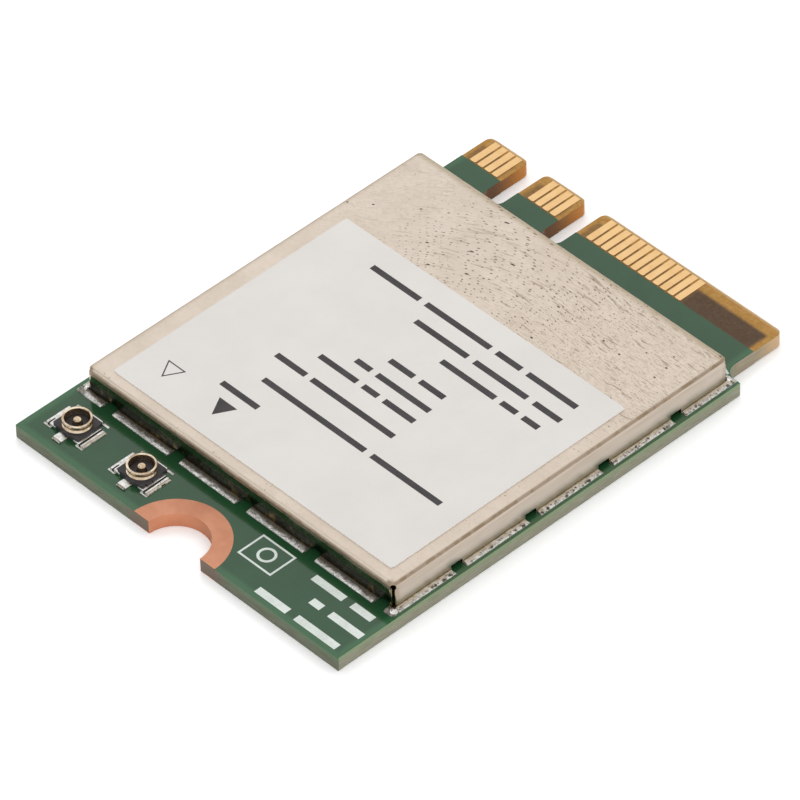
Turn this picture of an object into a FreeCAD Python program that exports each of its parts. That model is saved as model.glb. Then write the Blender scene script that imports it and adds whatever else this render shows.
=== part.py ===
import FreeCAD, Part
import Sketcher
import os

Vector = FreeCAD.Vector
UP = Vector(0, 0, 1)

# Driving dimensions in millimetres. The frame has its origin under the middle of the card,
# +Y towards the card-edge tongue, +Z up from the underside of the board.
BOARD = {
    "board_length": 30.0,
    "board_thickness": 0.8,
    "tongue_length": 4.0,
    "shoulder_width": 1.075,
    "shoulder_radius": 0.7,
    "tip_corner_radius": 0.25,
    "tip_bevel": 0.06,
    "key_width": 1.2,
    "key_depth": 3.5,
    "key_a_place": 11.5,
    "key_e_place": 27.5,
    "bare_length": 2.0,
    "mask_thickness": 0.03,
    "cut_margin": 1.0,
}
CONTACTS = {
    "contact_pitch": 0.5,
    "contact_place_count": 75,
    "contact_width": 0.35,
    "contact_setback": 0.2,
    "contact_mask_gap": 0.05,
    "contact_end_chamfer": 0.09,
    "tongue_margin": 0.675,
}
RING = {
    "notch_radius": 1.75,
    "ring_radius": 2.75,
    "plating": 0.03,
}
CAN = {
    "can_front_setback": 4.0,
    "can_far_setback": 0.28,
    "can_left_setback": 0.6,
    "can_right_setback": 0.5,
    "can_rise": 1.47,
    "can_sheet": 0.15,
    "can_bend": 0.25,
    "can_corner": 0.3,
    "leg_gap_width": 0.7,
    "leg_gap_height": 0.5,
    "front_gap_start": 1.77,
    "front_gap_pitch": 4.62,
    "side_gap_start": 4.01,
    "side_gap_pitch": 4.74,
    "corner_slit": 0.14,
    "relief_radius": 0.15,
    "relief_drop": 0.25,
}
SOLDERING = {
    "land_thickness": 0.03,
    "land_margin": 0.04,
    "land_reach_in": 0.2,
    "solder_reach": 0.31,
    "solder_far_reach": 0.19,
    "solder_rise": 0.14,
    "solder_flat": 0.02,
}
LABEL = {
    "label_length": 15.0,
    "label_thickness": 0.08,
    "label_left_margin": 1.2,
    "label_right_margin": 0.9,
    "label_front_margin": 0.73,
    "label_corner": 0.18,
    "label_turn": 0.4,
}
JACKS = {
    "jack_ring_gap": 0.335,
    "jack_spacing": 4.47,
    "jack_end_distance": 1.95,
    "jack_tab_reach": 1.245,
    "jack_tab_length": 1.62,
    "jack_tab_offset": 0.06,
    "jack_rear_reach": 0.98,
    "jack_rear_width": 2.1,
    "jack_plate": 0.14,
    "jack_body_width": 1.72,
    "jack_body_length": 1.65,
    "jack_body_height": 0.27,
    "jack_body_chamfer": 0.08,
    "jack_well_depth": 0.08,
    "shell_radius": 0.74,
    "shell_wall": 0.13,
    "shell_top": 0.62,
    "shell_lip": 0.19,
    "shell_groove_depth": 0.08,
    "shell_groove_height": 0.06,
    "shell_lip_chamfer": 0.04,
    "pin_radius": 0.17,
    "pin_top": 0.53,
    "pin_collar_radius": 0.25,
    "pin_collar_top": 0.24,
    "pin_chamfer": 0.05,
    "tail_width": 0.4,
    "tail_reach": 1.25,
    "tail_thickness": 0.07,
    "jack_land_margin": 0.1,
    "jack_solder_rise": 0.1,
}
CHIPS = {
    "radio_side": 9.0,
    "radio_height": 0.85,
    "radio_x": 1.0,
    "radio_inset": 11.4,
    "terminal_width": 0.22,
    "terminal_length": 0.45,
    "terminal_thickness": 0.05,
    "terminal_pitch": 0.5,
    "thermal_pad_side": 6.0,
    "dimple_radius": 0.3,
    "dimple_depth": 0.06,
    "dimple_inset": 0.9,
    "module_side": 3.0,
    "module_height": 0.75,
    "module_a_x": -7.4,
    "module_a_inset": 5.9,
    "module_b_x": -3.6,
    "module_b_inset": 3.9,
    "regulator_side": 3.0,
    "regulator_height": 0.8,
    "regulator_x": 7.4,
    "regulator_inset": 3.7,
    "memory_width": 3.0,
    "memory_length": 2.0,
    "memory_height": 0.6,
    "memory_x": -7.4,
    "memory_inset": 16.1,
    "crystal_width": 2.5,
    "crystal_length": 2.0,
    "crystal_base_height": 0.35,
    "crystal_lid_height": 0.15,
    "crystal_lid_inset": 0.15,
    "crystal_x": -7.6,
    "crystal_inset": 11.7,
}
PASSIVES = {
    "filter_width": 1.6,
    "filter_length": 0.8,
    "filter_height": 0.6,
    "filter_x": -8.0,
    "filter_inset": 1.4,
    "filter_spacing": 4.4,
    "inductor_width": 2.5,
    "inductor_length": 2.0,
    "inductor_height": 1.0,
    "inductor_round": 0.15,
    "inductor_x": 0.2,
    "inductor_inset": 3.7,
    "inductor_spacing": 3.1,
    "capacitor_length": 1.0,
    "capacitor_width": 0.5,
    "capacitor_height": 0.5,
    "capacitor_gap": 0.7,
    "capacitor_pitch": 1.4,
    "resistor_length": 1.0,
    "resistor_width": 0.5,
    "resistor_height": 0.35,
    "resistor_gap": 1.1,
    "resistor_pitch": 1.6,
}

# Sizes and places that follow from the driving dimensions
DERIVED = {
    "middle_place": "(contact_place_count + 1) / 2",
    "place_step": "contact_pitch / 2",
    "tongue_width": "(contact_place_count - 1) * place_step + 2 * tongue_margin",
    "board_width": "tongue_width + 2 * shoulder_width",
    "tip_y": "board_length / 2",
    "end_y": "-board_length / 2",
    "shoulder_y": "tip_y - tongue_length",
    "bare_top": "board_thickness - mask_thickness",
    "contact_length": "bare_length - contact_setback - contact_mask_gap",
    "contact_y": "tip_y - contact_setback - contact_length / 2",
    "can_width": "board_width - can_left_setback - can_right_setback",
    "can_length": "board_length - tongue_length - can_front_setback - can_far_setback",
    "can_x": "(can_left_setback - can_right_setback) / 2",
    "can_y": "(end_y + can_front_setback + shoulder_y - can_far_setback) / 2",
    "land_top": "board_thickness + land_thickness",
    "land_reach": "solder_reach + land_margin",
    "land_far_reach": "solder_far_reach + land_margin",
    "land_inset": "can_sheet + land_reach_in",
    "relief_height": "can_rise - relief_drop",
    "label_width": "can_width - label_left_margin - label_right_margin",
    "jack_b_x": "-(ring_radius + jack_ring_gap + jack_tab_reach)",
    "jack_a_x": "jack_b_x - jack_spacing",
    "jack_y": "end_y + jack_end_distance",
    "shell_inner": "shell_radius - shell_wall",
    "shell_waist": "shell_radius - shell_groove_depth",
    "groove_top": "shell_top - shell_lip",
    "groove_bottom": "groove_top - shell_groove_height",
    "capacitor_offset": "radio_side / 2 + capacitor_gap + capacitor_length / 2",
    "resistor_offset": "radio_side / 2 + resistor_gap + resistor_length / 2",
    "terminal_edge": "(radio_side - terminal_length) / 2",
}

# Contact places filled on each face of the tongue, as the first place and the count of each block
TOP_PLACE_COUNTS = [(1, 4), (17, 4), (33, 13)]
BOTTOM_PLACE_COUNTS = [(2, 3), (16, 4), (32, 22)]
FRONT_GAP_COUNT = 5
SIDE_GAP_COUNT = 4
TERMINAL_COUNT = 16
CAPACITOR_COUNT = 6
RESISTOR_COUNT = 6
TOUCH = 1e-4

doc = FreeCAD.newDocument("radio_card")
sizes = doc.addObject("Spreadsheet::Sheet", "Size")


def fill_sheet():
    """Write every driving and derived size into the sheet under its own alias."""
    cells = {}
    for group in (BOARD, CONTACTS, RING, CAN, SOLDERING, LABEL, JACKS, CHIPS, PASSIVES):
        for alias, value in group.items():
            cells[alias] = str(value)
    for alias, formula in DERIVED.items():
        cells[alias] = "=" + formula
    for row, (alias, content) in enumerate(cells.items(), 1):
        sizes.set(f"A{row}", alias)
        sizes.set(f"B{row}", content)
        sizes.setAlias(f"B{row}", alias)
    doc.recompute()


def size(alias):
    """The number that a sheet cell holds."""
    return float(sizes.get(alias))


def number(expression):
    """The number that an expression on the sheet gives."""
    return float(sizes.evalExpression(expression))


def new_body(label, x="0", y="0", z="0"):
    """A body with its own label, placed by expressions."""
    body = doc.addObject("PartDesign::Body", label)
    body.Label = label
    for axis, expression in (("x", x), ("y", y), ("z", z)):
        body.setExpression(f"Placement.Base.{axis}", expression)
    return body


def new_sketch(body, name, role, x="0", y="0", z="0"):
    """An empty sketch on one of the body's own origin planes, shifted by expressions."""
    plane = next(feature for feature in body.Origin.OriginFeatures if feature.Role == role)
    sketch = body.newObject("Sketcher::SketchObject", name)
    sketch.AttachmentSupport = [(plane, "")]
    sketch.MapMode = "FlatFace"
    for axis, expression in (("x", x), ("y", y), ("z", z)):
        sketch.setExpression(f"AttachmentOffset.Base.{axis}", expression)
    return sketch


def bind(sketch, kind, references, expression):
    """Add one dimension to a sketch and tie it to the sheet."""
    index = sketch.addConstraint(Sketcher.Constraint(kind, *references, number(expression)))
    sketch.setExpression(f"Constraints[{index}]", expression)


def add_loop(sketch, corners):
    """A closed outline of straight lines whose corners are pairs of expressions."""
    points = [Vector(number(x), number(y), 0) for x, y in corners]
    count = len(points)
    lines = [
        sketch.addGeometry(Part.LineSegment(points[i], points[(i + 1) % count]))
        for i in range(count)
    ]
    for i in range(count):
        sketch.addConstraint(Sketcher.Constraint("Coincident", lines[i], 2, lines[(i + 1) % count], 1))
    for line, (x, y) in zip(lines, corners):
        bind(sketch, "DistanceX", (-1, 1, line, 1), x)
        bind(sketch, "DistanceY", (-1, 1, line, 1), y)


def add_rectangle(sketch, width, height, x="0", y="0"):
    """A rectangle of a given width and height about a given middle."""
    left, right = f"{x} - ({width}) / 2", f"{x} + ({width}) / 2"
    low, high = f"{y} - ({height}) / 2", f"{y} + ({height}) / 2"
    add_loop(sketch, [(left, low), (right, low), (right, high), (left, high)])


def rectangle(body, name, role, width, height, x="0", y="0", z="0"):
    """A sketch of one rectangle about a given middle."""
    sketch = new_sketch(body, name, role, x, y, z)
    add_rectangle(sketch, width, height)
    return sketch


def circle(body, name, role, radius, x="0", y="0", z="0"):
    """A sketch of one circle about a given middle."""
    sketch = new_sketch(body, name, role, x, y, z)
    ring = sketch.addGeometry(Part.Circle(Vector(0, 0, 0), UP, number(radius)))
    sketch.addConstraint(Sketcher.Constraint("Coincident", ring, 3, -1, 1))
    bind(sketch, "Radius", (ring,), radius)
    return sketch


def pad(body, name, sketch, length, both_ways=False):
    """Raise a sketch into a solid, to one side or half to each."""
    feature = body.newObject("PartDesign::Pad", name)
    feature.Profile = sketch
    feature.SideType = "Symmetric" if both_ways else "One side"
    feature.setExpression("Length", length)
    doc.recompute()
    return feature


def pocket(body, name, sketch, length=None, reverse=False):
    """Cut a sketch into the solid, to a depth or right through both ways."""
    before = body.Shape.Volume
    feature = body.newObject("PartDesign::Pocket", name)
    feature.Profile = sketch
    feature.Reversed = reverse
    if length is None:
        feature.Type = "ThroughAll"
        feature.SideType = "Symmetric"
    else:
        feature.setExpression("Length", length)
    doc.recompute()
    if body.Shape.Volume >= before:
        raise RuntimeError(f"{name} cuts nothing from {body.Label}")
    return feature


def revolve(body, name, sketch, angle):
    """Turn a sketch about its own vertical axis."""
    feature = body.newObject("PartDesign::Revolution", name)
    feature.Profile = sketch
    feature.ReferenceAxis = (sketch, ["V_Axis"])
    feature.Angle = angle
    doc.recompute()
    return feature


def repeat(body, name, features, axis, length, count):
    """Repeat features along a sketch axis over a total length."""
    feature = body.newObject("PartDesign::LinearPattern", name)
    feature.Originals = features
    feature.Direction = axis
    feature.setExpression("Length", length)
    feature.Occurrences = count
    body.Tip = feature
    doc.recompute()
    return feature


def edges_where(feature, test):
    """Names of the edges of a feature whose two ends both pass a test."""
    names = []
    for index, edge in enumerate(feature.Shape.Edges, 1):
        ends = [vertex.Point for vertex in edge.Vertexes]
        if len(ends) == 2 and test(*ends):
            names.append(f"Edge{index}")
    if not names:
        raise RuntimeError(f"no edge of {feature.Name} passes its test")
    return names


def upright(a, b):
    """True for an edge that runs along Z."""
    return abs(a.x - b.x) < TOUCH and abs(a.y - b.y) < TOUCH


def at_height(a, b, height):
    """True for an edge that lies at one height."""
    return abs(a.z - height) < TOUCH and abs(b.z - height) < TOUCH


def dress(body, kind, name, base, edges, length):
    """Fillet or chamfer chosen edges of a feature by a sheet length."""
    feature = body.newObject(f"PartDesign::{kind}", name)
    feature.Base = (base, edges)
    feature.setExpression("Radius" if kind == "Fillet" else "Size", length)
    doc.recompute()
    return feature


def place_x(place):
    """Expression for the X of a contact place on the tongue."""
    return f"({place} - Size.middle_place) * Size.place_step"


def circuit_board():
    """Laminate with its tongue, keying slots, screw notch and unmasked strips."""
    body = new_body("circuit_board")
    main = rectangle(body, "main_outline", "XY_Plane", "Size.board_width",
                     "Size.board_length - Size.tongue_length", y="-Size.tongue_length / 2")
    pad(body, "main_plate", main, "Size.board_thickness")
    tongue = rectangle(body, "tongue_outline", "XY_Plane", "Size.tongue_width", "Size.tongue_length",
                       y="Size.shoulder_y + Size.tongue_length / 2")
    plate = pad(body, "tongue", tongue, "Size.board_thickness")
    shoulder, side, tip = size("shoulder_y"), size("tongue_width") / 2, size("tip_y")
    roots = edges_where(plate, lambda a, b: upright(a, b) and abs(a.y - shoulder) < TOUCH
                        and abs(abs(a.x) - side) < TOUCH)
    dress(body, "Fillet", "shoulder_rounds", plate, roots, "Size.shoulder_radius")

    slot_length = "Size.key_depth - Size.key_width / 2"
    slot = rectangle(body, "key_slot_outline", "XY_Plane", "Size.key_width",
                     f"{slot_length} + Size.cut_margin", x=place_x("Size.key_a_place"),
                     y=f"Size.tip_y + (Size.cut_margin - ({slot_length})) / 2")
    straight = pocket(body, "key_slot", slot)
    round_end = circle(body, "key_end_outline", "XY_Plane", "Size.key_width / 2",
                       x=place_x("Size.key_a_place"), y=f"Size.tip_y - ({slot_length})")
    rounded = pocket(body, "key_end", round_end)
    keys = repeat(body, "keys", [straight, rounded], (slot, ["H_Axis"]),
                  "(Size.key_e_place - Size.key_a_place) * Size.place_step", 2)
    tips = edges_where(keys, lambda a, b: upright(a, b) and abs(a.y - tip) < TOUCH)
    dress(body, "Fillet", "tip_rounds", keys, tips, "Size.tip_corner_radius")

    notch = circle(body, "notch_outline", "XY_Plane", "Size.notch_radius + Size.plating", y="Size.end_y")
    pocket(body, "notch", notch)
    seat = circle(body, "upper_seat_outline", "XY_Plane", "Size.ring_radius", y="Size.end_y",
                  z="Size.board_thickness")
    pocket(body, "upper_ring_seat", seat, "Size.plating")
    seat = circle(body, "lower_seat_outline", "XY_Plane", "Size.ring_radius", y="Size.end_y")
    pocket(body, "lower_ring_seat", seat, "Size.plating", reverse=True)

    bare_size = ("Size.board_width", "Size.bare_length + Size.cut_margin")
    bare_y = "Size.tip_y + (Size.cut_margin - Size.bare_length) / 2"
    bare = rectangle(body, "upper_bare_outline", "XY_Plane", *bare_size, y=bare_y, z="Size.board_thickness")
    pocket(body, "upper_bare_strip", bare, "Size.mask_thickness")
    bare = rectangle(body, "lower_bare_outline", "XY_Plane", *bare_size, y=bare_y)
    pocket(body, "lower_bare_strip", bare, "Size.mask_thickness", reverse=True)

    bevel = new_sketch(body, "tip_bevel_outline", "YZ_Plane")
    beyond = "Size.tip_y + Size.cut_margin"
    start = "Size.tip_y - Size.tip_bevel"
    for face, inward, outward in (("Size.bare_top", "-", "+"), ("Size.mask_thickness", "+", "-")):
        foot = f"{face} {inward} Size.tip_bevel"
        clear = f"{face} {outward} Size.cut_margin"
        add_loop(bevel, [(start, face), ("Size.tip_y", foot), (beyond, foot), (beyond, clear), (start, clear)])
    pocket(body, "tip_bevels", bevel)
    return body


def mounting_ring():
    """Plating that wraps the screw notch: a land on each face joined by the wall of the notch."""
    body = new_body("mounting_ring", y="Size.end_y")
    section = new_sketch(body, "ring_section", "XZ_Plane")
    inner, outer, wall = "Size.notch_radius", "Size.ring_radius", "Size.notch_radius + Size.plating"
    top, under_top = "Size.board_thickness", "Size.board_thickness - Size.plating"
    add_loop(section, [(inner, "0"), (outer, "0"), (outer, "Size.plating"), (wall, "Size.plating"),
                       (wall, under_top), (outer, under_top), (outer, top), (inner, top)])
    revolve(body, "half_turn", section, 180)
    return body


def edge_contacts(label, blocks, z):
    """Gold contacts of one face of the tongue, block by block."""
    body = new_body(label)
    half, end = "Size.contact_width / 2", "Size.contact_length / 2"
    cut = "Size.contact_end_chamfer"
    for first, count in blocks:
        sketch = new_sketch(body, f"contact_{first}_outline", "XY_Plane", place_x(first), "Size.contact_y", z)
        add_loop(sketch, [(f"-{half}", f"-{end} + {cut}"), (f"-{half} + {cut}", f"-{end}"),
                          (f"{half} - {cut}", f"-{end}"), (half, f"-{end} + {cut}"),
                          (half, end), (f"-{half}", end)])
        contact = pad(body, f"contact_{first}", sketch, "Size.mask_thickness")
        repeat(body, f"block_{first}", [contact], (sketch, ["H_Axis"]),
               f"Size.contact_pitch * {count - 1}", count)
    return body


def cut_leg_gaps(body):
    """Open the gaps between the legs of the can, through both walls of each pair."""
    height = "2 * Size.leg_gap_height"
    front = rectangle(body, "front_gap_outline", "XZ_Plane", "Size.leg_gap_width", height,
                      x="Size.front_gap_start - Size.can_width / 2")
    front_gap = pocket(body, "front_gap", front)
    repeat(body, "front_gaps", [front_gap], (front, ["H_Axis"]),
           f"Size.front_gap_pitch * {FRONT_GAP_COUNT - 1}", FRONT_GAP_COUNT)
    side = rectangle(body, "side_gap_outline", "YZ_Plane", "Size.leg_gap_width", height,
                     x="Size.side_gap_start - Size.can_length / 2")
    side_gap = pocket(body, "side_gap", side)
    repeat(body, "side_gaps", [side_gap], (side, ["H_Axis"]),
           f"Size.side_gap_pitch * {SIDE_GAP_COUNT - 1}", SIDE_GAP_COUNT)


def shield_lands():
    """Tinned lands on the board under the legs of the can."""
    body = new_body("shield_lands", "Size.can_x", "Size.can_y", "Size.board_thickness")
    outer = rectangle(body, "land_outline", "XY_Plane", "Size.can_width + 2 * Size.land_reach",
                      "Size.can_length + Size.land_reach + Size.land_far_reach",
                      y="(Size.land_far_reach - Size.land_reach) / 2")
    pad(body, "land_sheet", outer, "Size.land_thickness")
    inner = rectangle(body, "land_opening", "XY_Plane", "Size.can_width - 2 * Size.land_inset",
                      "Size.can_length - 2 * Size.land_inset")
    pocket(body, "land_frame", inner)
    cut_leg_gaps(body)
    return body


def shield_solder():
    """Solder fillets between the lands and the outside of each leg."""
    body = new_body("shield_solder", "Size.can_x", "Size.can_y", "Size.land_top")
    outer = rectangle(body, "solder_outline", "XY_Plane", "Size.can_width + 2 * Size.solder_reach",
                      "Size.can_length + Size.solder_reach + Size.solder_far_reach",
                      y="(Size.solder_far_reach - Size.solder_reach) / 2")
    block = pad(body, "solder_block", outer, "Size.solder_rise")
    top = size("solder_rise")
    rim = edges_where(block, lambda a, b: at_height(a, b, top))
    dress(body, "Chamfer", "solder_slope", block, rim, "Size.solder_rise - Size.solder_flat")
    inner = rectangle(body, "solder_opening", "XY_Plane", "Size.can_width", "Size.can_length")
    frame = pocket(body, "solder_frame", inner)
    half = size("can_width") / 2
    corners = edges_where(frame, lambda a, b: upright(a, b) and abs(abs(a.x) - half) < TOUCH)
    dress(body, "Fillet", "solder_corners", frame, corners, "Size.can_corner")
    cut_leg_gaps(body)
    return body


def shield_can():
    """One folded sheet: a lid with four walls, slit corners with relief holes, and a row of legs."""
    body = new_body("shield_can", "Size.can_x", "Size.can_y", "Size.land_top")
    outline = rectangle(body, "can_outline", "XY_Plane", "Size.can_width", "Size.can_length")
    block = pad(body, "can_block", outline, "Size.can_rise")
    rounded = dress(body, "Fillet", "corner_rounds", block, edges_where(block, upright), "Size.can_corner")
    rise = size("can_rise")
    rim = edges_where(rounded, lambda a, b: at_height(a, b, rise))
    folded = dress(body, "Fillet", "bends", rounded, rim, "Size.can_bend")
    floor = next(index for index, face in enumerate(folded.Shape.Faces, 1)
                 if abs(face.BoundBox.ZMax) < TOUCH)
    sheet = body.newObject("PartDesign::Thickness", "sheet")
    sheet.Base = (folded, [f"Face{floor}"])
    sheet.Reversed = True
    sheet.setExpression("Value", "Size.can_sheet")
    doc.recompute()
    cut_leg_gaps(body)

    slits = new_sketch(body, "corner_slit_outlines", "XY_Plane")
    reach = "(Size.can_corner + Size.can_sheet)"
    half_slit = "(Size.corner_slit / 2)"
    corner_signs = [(1, 1), (-1, 1), (-1, -1), (1, -1)]
    for across, along in corner_signs:
        loop = []
        for far, side in ((1, 1), (-1, 1), (-1, -1), (1, -1)):
            x = f"{across} * Size.can_width / 2 + ({far * across} * {reach} - {side * along} * {half_slit}) / sqrt(2)"
            y = f"{along} * Size.can_length / 2 + ({far * along} * {reach} + {side * across} * {half_slit}) / sqrt(2)"
            loop.append((x, y))
        add_loop(slits, loop)
    pocket(body, "corner_slits", slits, "Size.relief_height", reverse=True)
    for index, (across, along) in enumerate(corner_signs, 1):
        relief = body.newObject("PartDesign::SubtractiveCylinder", f"corner_relief_{index}")
        relief.Placement = FreeCAD.Placement(Vector(), FreeCAD.Rotation(UP, Vector(across, along, 0)))
        relief.setExpression("Radius", "Size.relief_radius")
        relief.setExpression("Height", f"2 * {reach}")
        relief.setExpression("Placement.Base.x", f"{across} * (Size.can_width / 2 - {reach} / sqrt(2))")
        relief.setExpression("Placement.Base.y", f"{along} * (Size.can_length / 2 - {reach} / sqrt(2))")
        relief.setExpression("Placement.Base.z", "Size.relief_height")
        doc.recompute()
    return body


def label_sheet():
    """Paper label on the lid of the can, laid a little out of square."""
    body = new_body("label", "Size.can_x + (Size.label_left_margin - Size.label_right_margin) / 2",
                    "Size.can_y - Size.can_length / 2 + Size.label_front_margin + Size.label_length / 2",
                    "Size.land_top + Size.can_rise")
    outline = rectangle(body, "label_outline", "XY_Plane", "Size.label_width", "Size.label_length")
    sheet = pad(body, "label_paper", outline, "Size.label_thickness")
    dress(body, "Fillet", "label_corners", sheet, edges_where(sheet, upright), "Size.label_corner")
    body.setExpression("Placement.Rotation.Angle", "Size.label_turn * 1 deg")
    return body


def jack_shell(name, x):
    """Grooved ring of an antenna jack, one piece with the plate that ends in its ground tabs."""
    body = new_body(f"{name}_shell", x, "Size.jack_y", "Size.land_top")
    section = new_sketch(body, "ring_section", "XZ_Plane")
    inner, outer, waist = "Size.shell_inner", "Size.shell_radius", "Size.shell_waist"
    add_loop(section, [(inner, "Size.jack_plate"), (outer, "Size.jack_plate"), (outer, "Size.groove_bottom"),
                       (waist, "Size.groove_bottom"), (waist, "Size.groove_top"), (outer, "Size.groove_top"),
                       (outer, "Size.shell_top"), (inner, "Size.shell_top")])
    ring = revolve(body, "ring", section, 360)
    top = size("shell_top")
    lip = [f"Edge{index}" for index, edge in enumerate(ring.Shape.Edges, 1)
           if abs(edge.BoundBox.ZMin - top) < TOUCH]
    dress(body, "Chamfer", "ring_lip", ring, lip, "Size.shell_lip_chamfer")
    tabs = new_sketch(body, "side_tab_outlines", "XY_Plane", y="-Size.jack_tab_offset")
    middle = "(Size.jack_tab_reach + Size.shell_inner) / 2"
    for side in ("-", ""):
        add_rectangle(tabs, "Size.jack_tab_reach - Size.shell_inner", "Size.jack_tab_length", x=f"{side}{middle}")
    pad(body, "side_tabs", tabs, "Size.jack_plate")
    rear = rectangle(body, "rear_tab_outline", "XY_Plane", "Size.jack_rear_width",
                     "Size.jack_rear_reach - Size.shell_inner",
                     y="(Size.jack_rear_reach + Size.shell_inner) / 2")
    pad(body, "rear_tab", rear, "Size.jack_plate")
    return body


def jack_pin(name, x):
    """Centre pin of an antenna jack, with the tail that runs out to the signal land."""
    body = new_body(f"{name}_pin", x, "Size.jack_y", "Size.land_top")
    section = new_sketch(body, "pin_section", "XZ_Plane")
    add_loop(section, [("0", "0"), ("Size.pin_collar_radius", "0"),
                       ("Size.pin_collar_radius", "Size.pin_collar_top"),
                       ("Size.pin_radius", "Size.pin_collar_top"),
                       ("Size.pin_radius", "Size.pin_top"), ("0", "Size.pin_top")])
    turned = revolve(body, "pin", section, 360)
    top = size("pin_top")
    nose = [f"Edge{index}" for index, edge in enumerate(turned.Shape.Edges, 1)
            if abs(edge.BoundBox.ZMin - top) < TOUCH]
    dress(body, "Chamfer", "pin_nose", turned, nose, "Size.pin_chamfer")
    tail = rectangle(body, "tail_outline", "XY_Plane", "Size.tail_width", "Size.tail_reach",
                     y="-Size.tail_reach / 2")
    pad(body, "tail", tail, "Size.tail_thickness")
    return body


def jack_housing(name, x, inserts):
    """Black base of an antenna jack, moulded round the shell plate and the pin."""
    body = new_body(f"{name}_moulding", x, "Size.jack_y", "Size.land_top")
    outline = rectangle(body, "base_outline", "XY_Plane", "Size.jack_body_width", "Size.jack_body_length")
    block = pad(body, "base_block", outline, "Size.jack_body_height")
    chamfered = dress(body, "Chamfer", "base_corners", block, edges_where(block, upright),
                      "Size.jack_body_chamfer")
    well = circle(body, "well_outline", "XY_Plane", "Size.shell_inner", z="Size.jack_body_height")
    pocket(body, "well", well, "Size.jack_well_depth")
    metal = doc.addObject("Part::MultiFuse", f"{name}_inserts")
    metal.Shapes = inserts
    housing = doc.addObject("Part::Cut", f"{name}_housing")
    housing.Label = f"{name}_housing"
    housing.Base = body
    housing.Tool = metal
    doc.recompute()
    return housing


def antenna_jack(name, x):
    """The three pieces of one antenna jack."""
    shell = jack_shell(name, x)
    pin = jack_pin(name, x)
    return [shell, pin, jack_housing(name, x, [shell, pin])]


def jack_lands():
    """Tinned lands on the board under the tabs of both jacks."""
    body = new_body("jack_lands", "Size.jack_b_x", "Size.jack_y", "Size.board_thickness")
    margin = "Size.jack_land_margin"
    outer, inner = f"(Size.jack_tab_reach + {margin})", "Size.jack_body_width / 2"
    rear_low = "(Size.jack_tab_length / 2 - Size.jack_tab_offset)"
    rear_high = f"(Size.jack_rear_reach + {margin})"
    side_low = f"(-Size.jack_tab_length / 2 - Size.jack_tab_offset - {margin})"
    ground = new_sketch(body, "ground_land_outline", "XY_Plane")
    add_loop(ground, [(f"-{outer}", side_low), (f"-{inner}", side_low), (f"-{inner}", rear_low),
                      (inner, rear_low), (inner, side_low), (outer, side_low),
                      (outer, rear_low), (f"Size.jack_rear_width / 2 + {margin}", rear_high),
                      (f"-Size.jack_rear_width / 2 - {margin}", rear_high), (f"-{outer}", rear_low)])
    ground_land = pad(body, "ground_land", ground, "Size.land_thickness")
    signal_length = f"Size.tail_reach + {margin} - Size.jack_body_length / 2"
    signal = rectangle(body, "signal_land_outline", "XY_Plane", f"Size.tail_width + {margin}", signal_length,
                       y=f"-(Size.tail_reach + {margin} + Size.jack_body_length / 2) / 2")
    signal_land = pad(body, "signal_land", signal, "Size.land_thickness")
    pair = repeat(body, "land_pair", [ground_land, signal_land], (ground, ["H_Axis"]), "Size.jack_spacing", 2)
    pair.Reversed = True
    doc.recompute()
    return body


def jack_solder():
    """Solder fillets at the ends of the tabs and the tail of both jacks."""
    body = new_body("jack_solder", "Size.jack_b_x", "Size.jack_y", "Size.land_top")
    margin, rise = "Size.jack_land_margin", "Size.jack_solder_rise"
    sides = new_sketch(body, "side_fillet_sections", "XZ_Plane", z="Size.jack_tab_offset")
    for sign in ("", "-"):
        foot = f"{sign}Size.jack_tab_reach"
        add_loop(sides, [(foot, "0"), (f"{sign}(Size.jack_tab_reach + {margin})", "0"), (foot, rise)])
    side_fillets = pad(body, "side_fillets", sides, "Size.jack_tab_length", both_ways=True)
    rear = new_sketch(body, "rear_fillet_section", "YZ_Plane")
    add_loop(rear, [("Size.jack_rear_reach", "0"), (f"Size.jack_rear_reach + {margin}", "0"),
                    ("Size.jack_rear_reach", rise)])
    rear_fillet = pad(body, "rear_fillet", rear, "Size.jack_rear_width", both_ways=True)
    tail = new_sketch(body, "tail_fillet_section", "YZ_Plane")
    add_loop(tail, [("-Size.tail_reach", "0"), (f"-Size.tail_reach - {margin}", "0"),
                    ("-Size.tail_reach", "Size.tail_thickness")])
    tail_fillet = pad(body, "tail_fillet", tail, "Size.tail_width", both_ways=True)
    pair = repeat(body, "fillet_pair", [side_fillets, rear_fillet, tail_fillet], (sides, ["H_Axis"]),
                  "Size.jack_spacing", 2)
    pair.Reversed = True
    doc.recompute()
    return body


def inner_place(x, inset, z="Size.board_thickness"):
    """Place of a component on the board, counted from the can's middle line and its front wall."""
    return f"Size.can_x + {x}", f"Size.can_y - Size.can_length / 2 + {inset}", z


def plain_chip(label, stem, width, length):
    """Moulded package with a dimple at its first corner."""
    body = new_body(label, *inner_place(f"Size.{stem}_x", f"Size.{stem}_inset"))
    height = f"Size.{stem.split('_')[0]}_height"
    outline = rectangle(body, "package_outline", "XY_Plane", width, length)
    pad(body, "package", outline, height)
    dimple = circle(body, "dimple_outline", "XY_Plane", "Size.dimple_radius / 2",
                    x=f"Size.dimple_inset / 2 - {width} / 2", y=f"{length} / 2 - Size.dimple_inset / 2", z=height)
    pocket(body, "dimple", dimple, "Size.dimple_depth")
    return body


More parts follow.
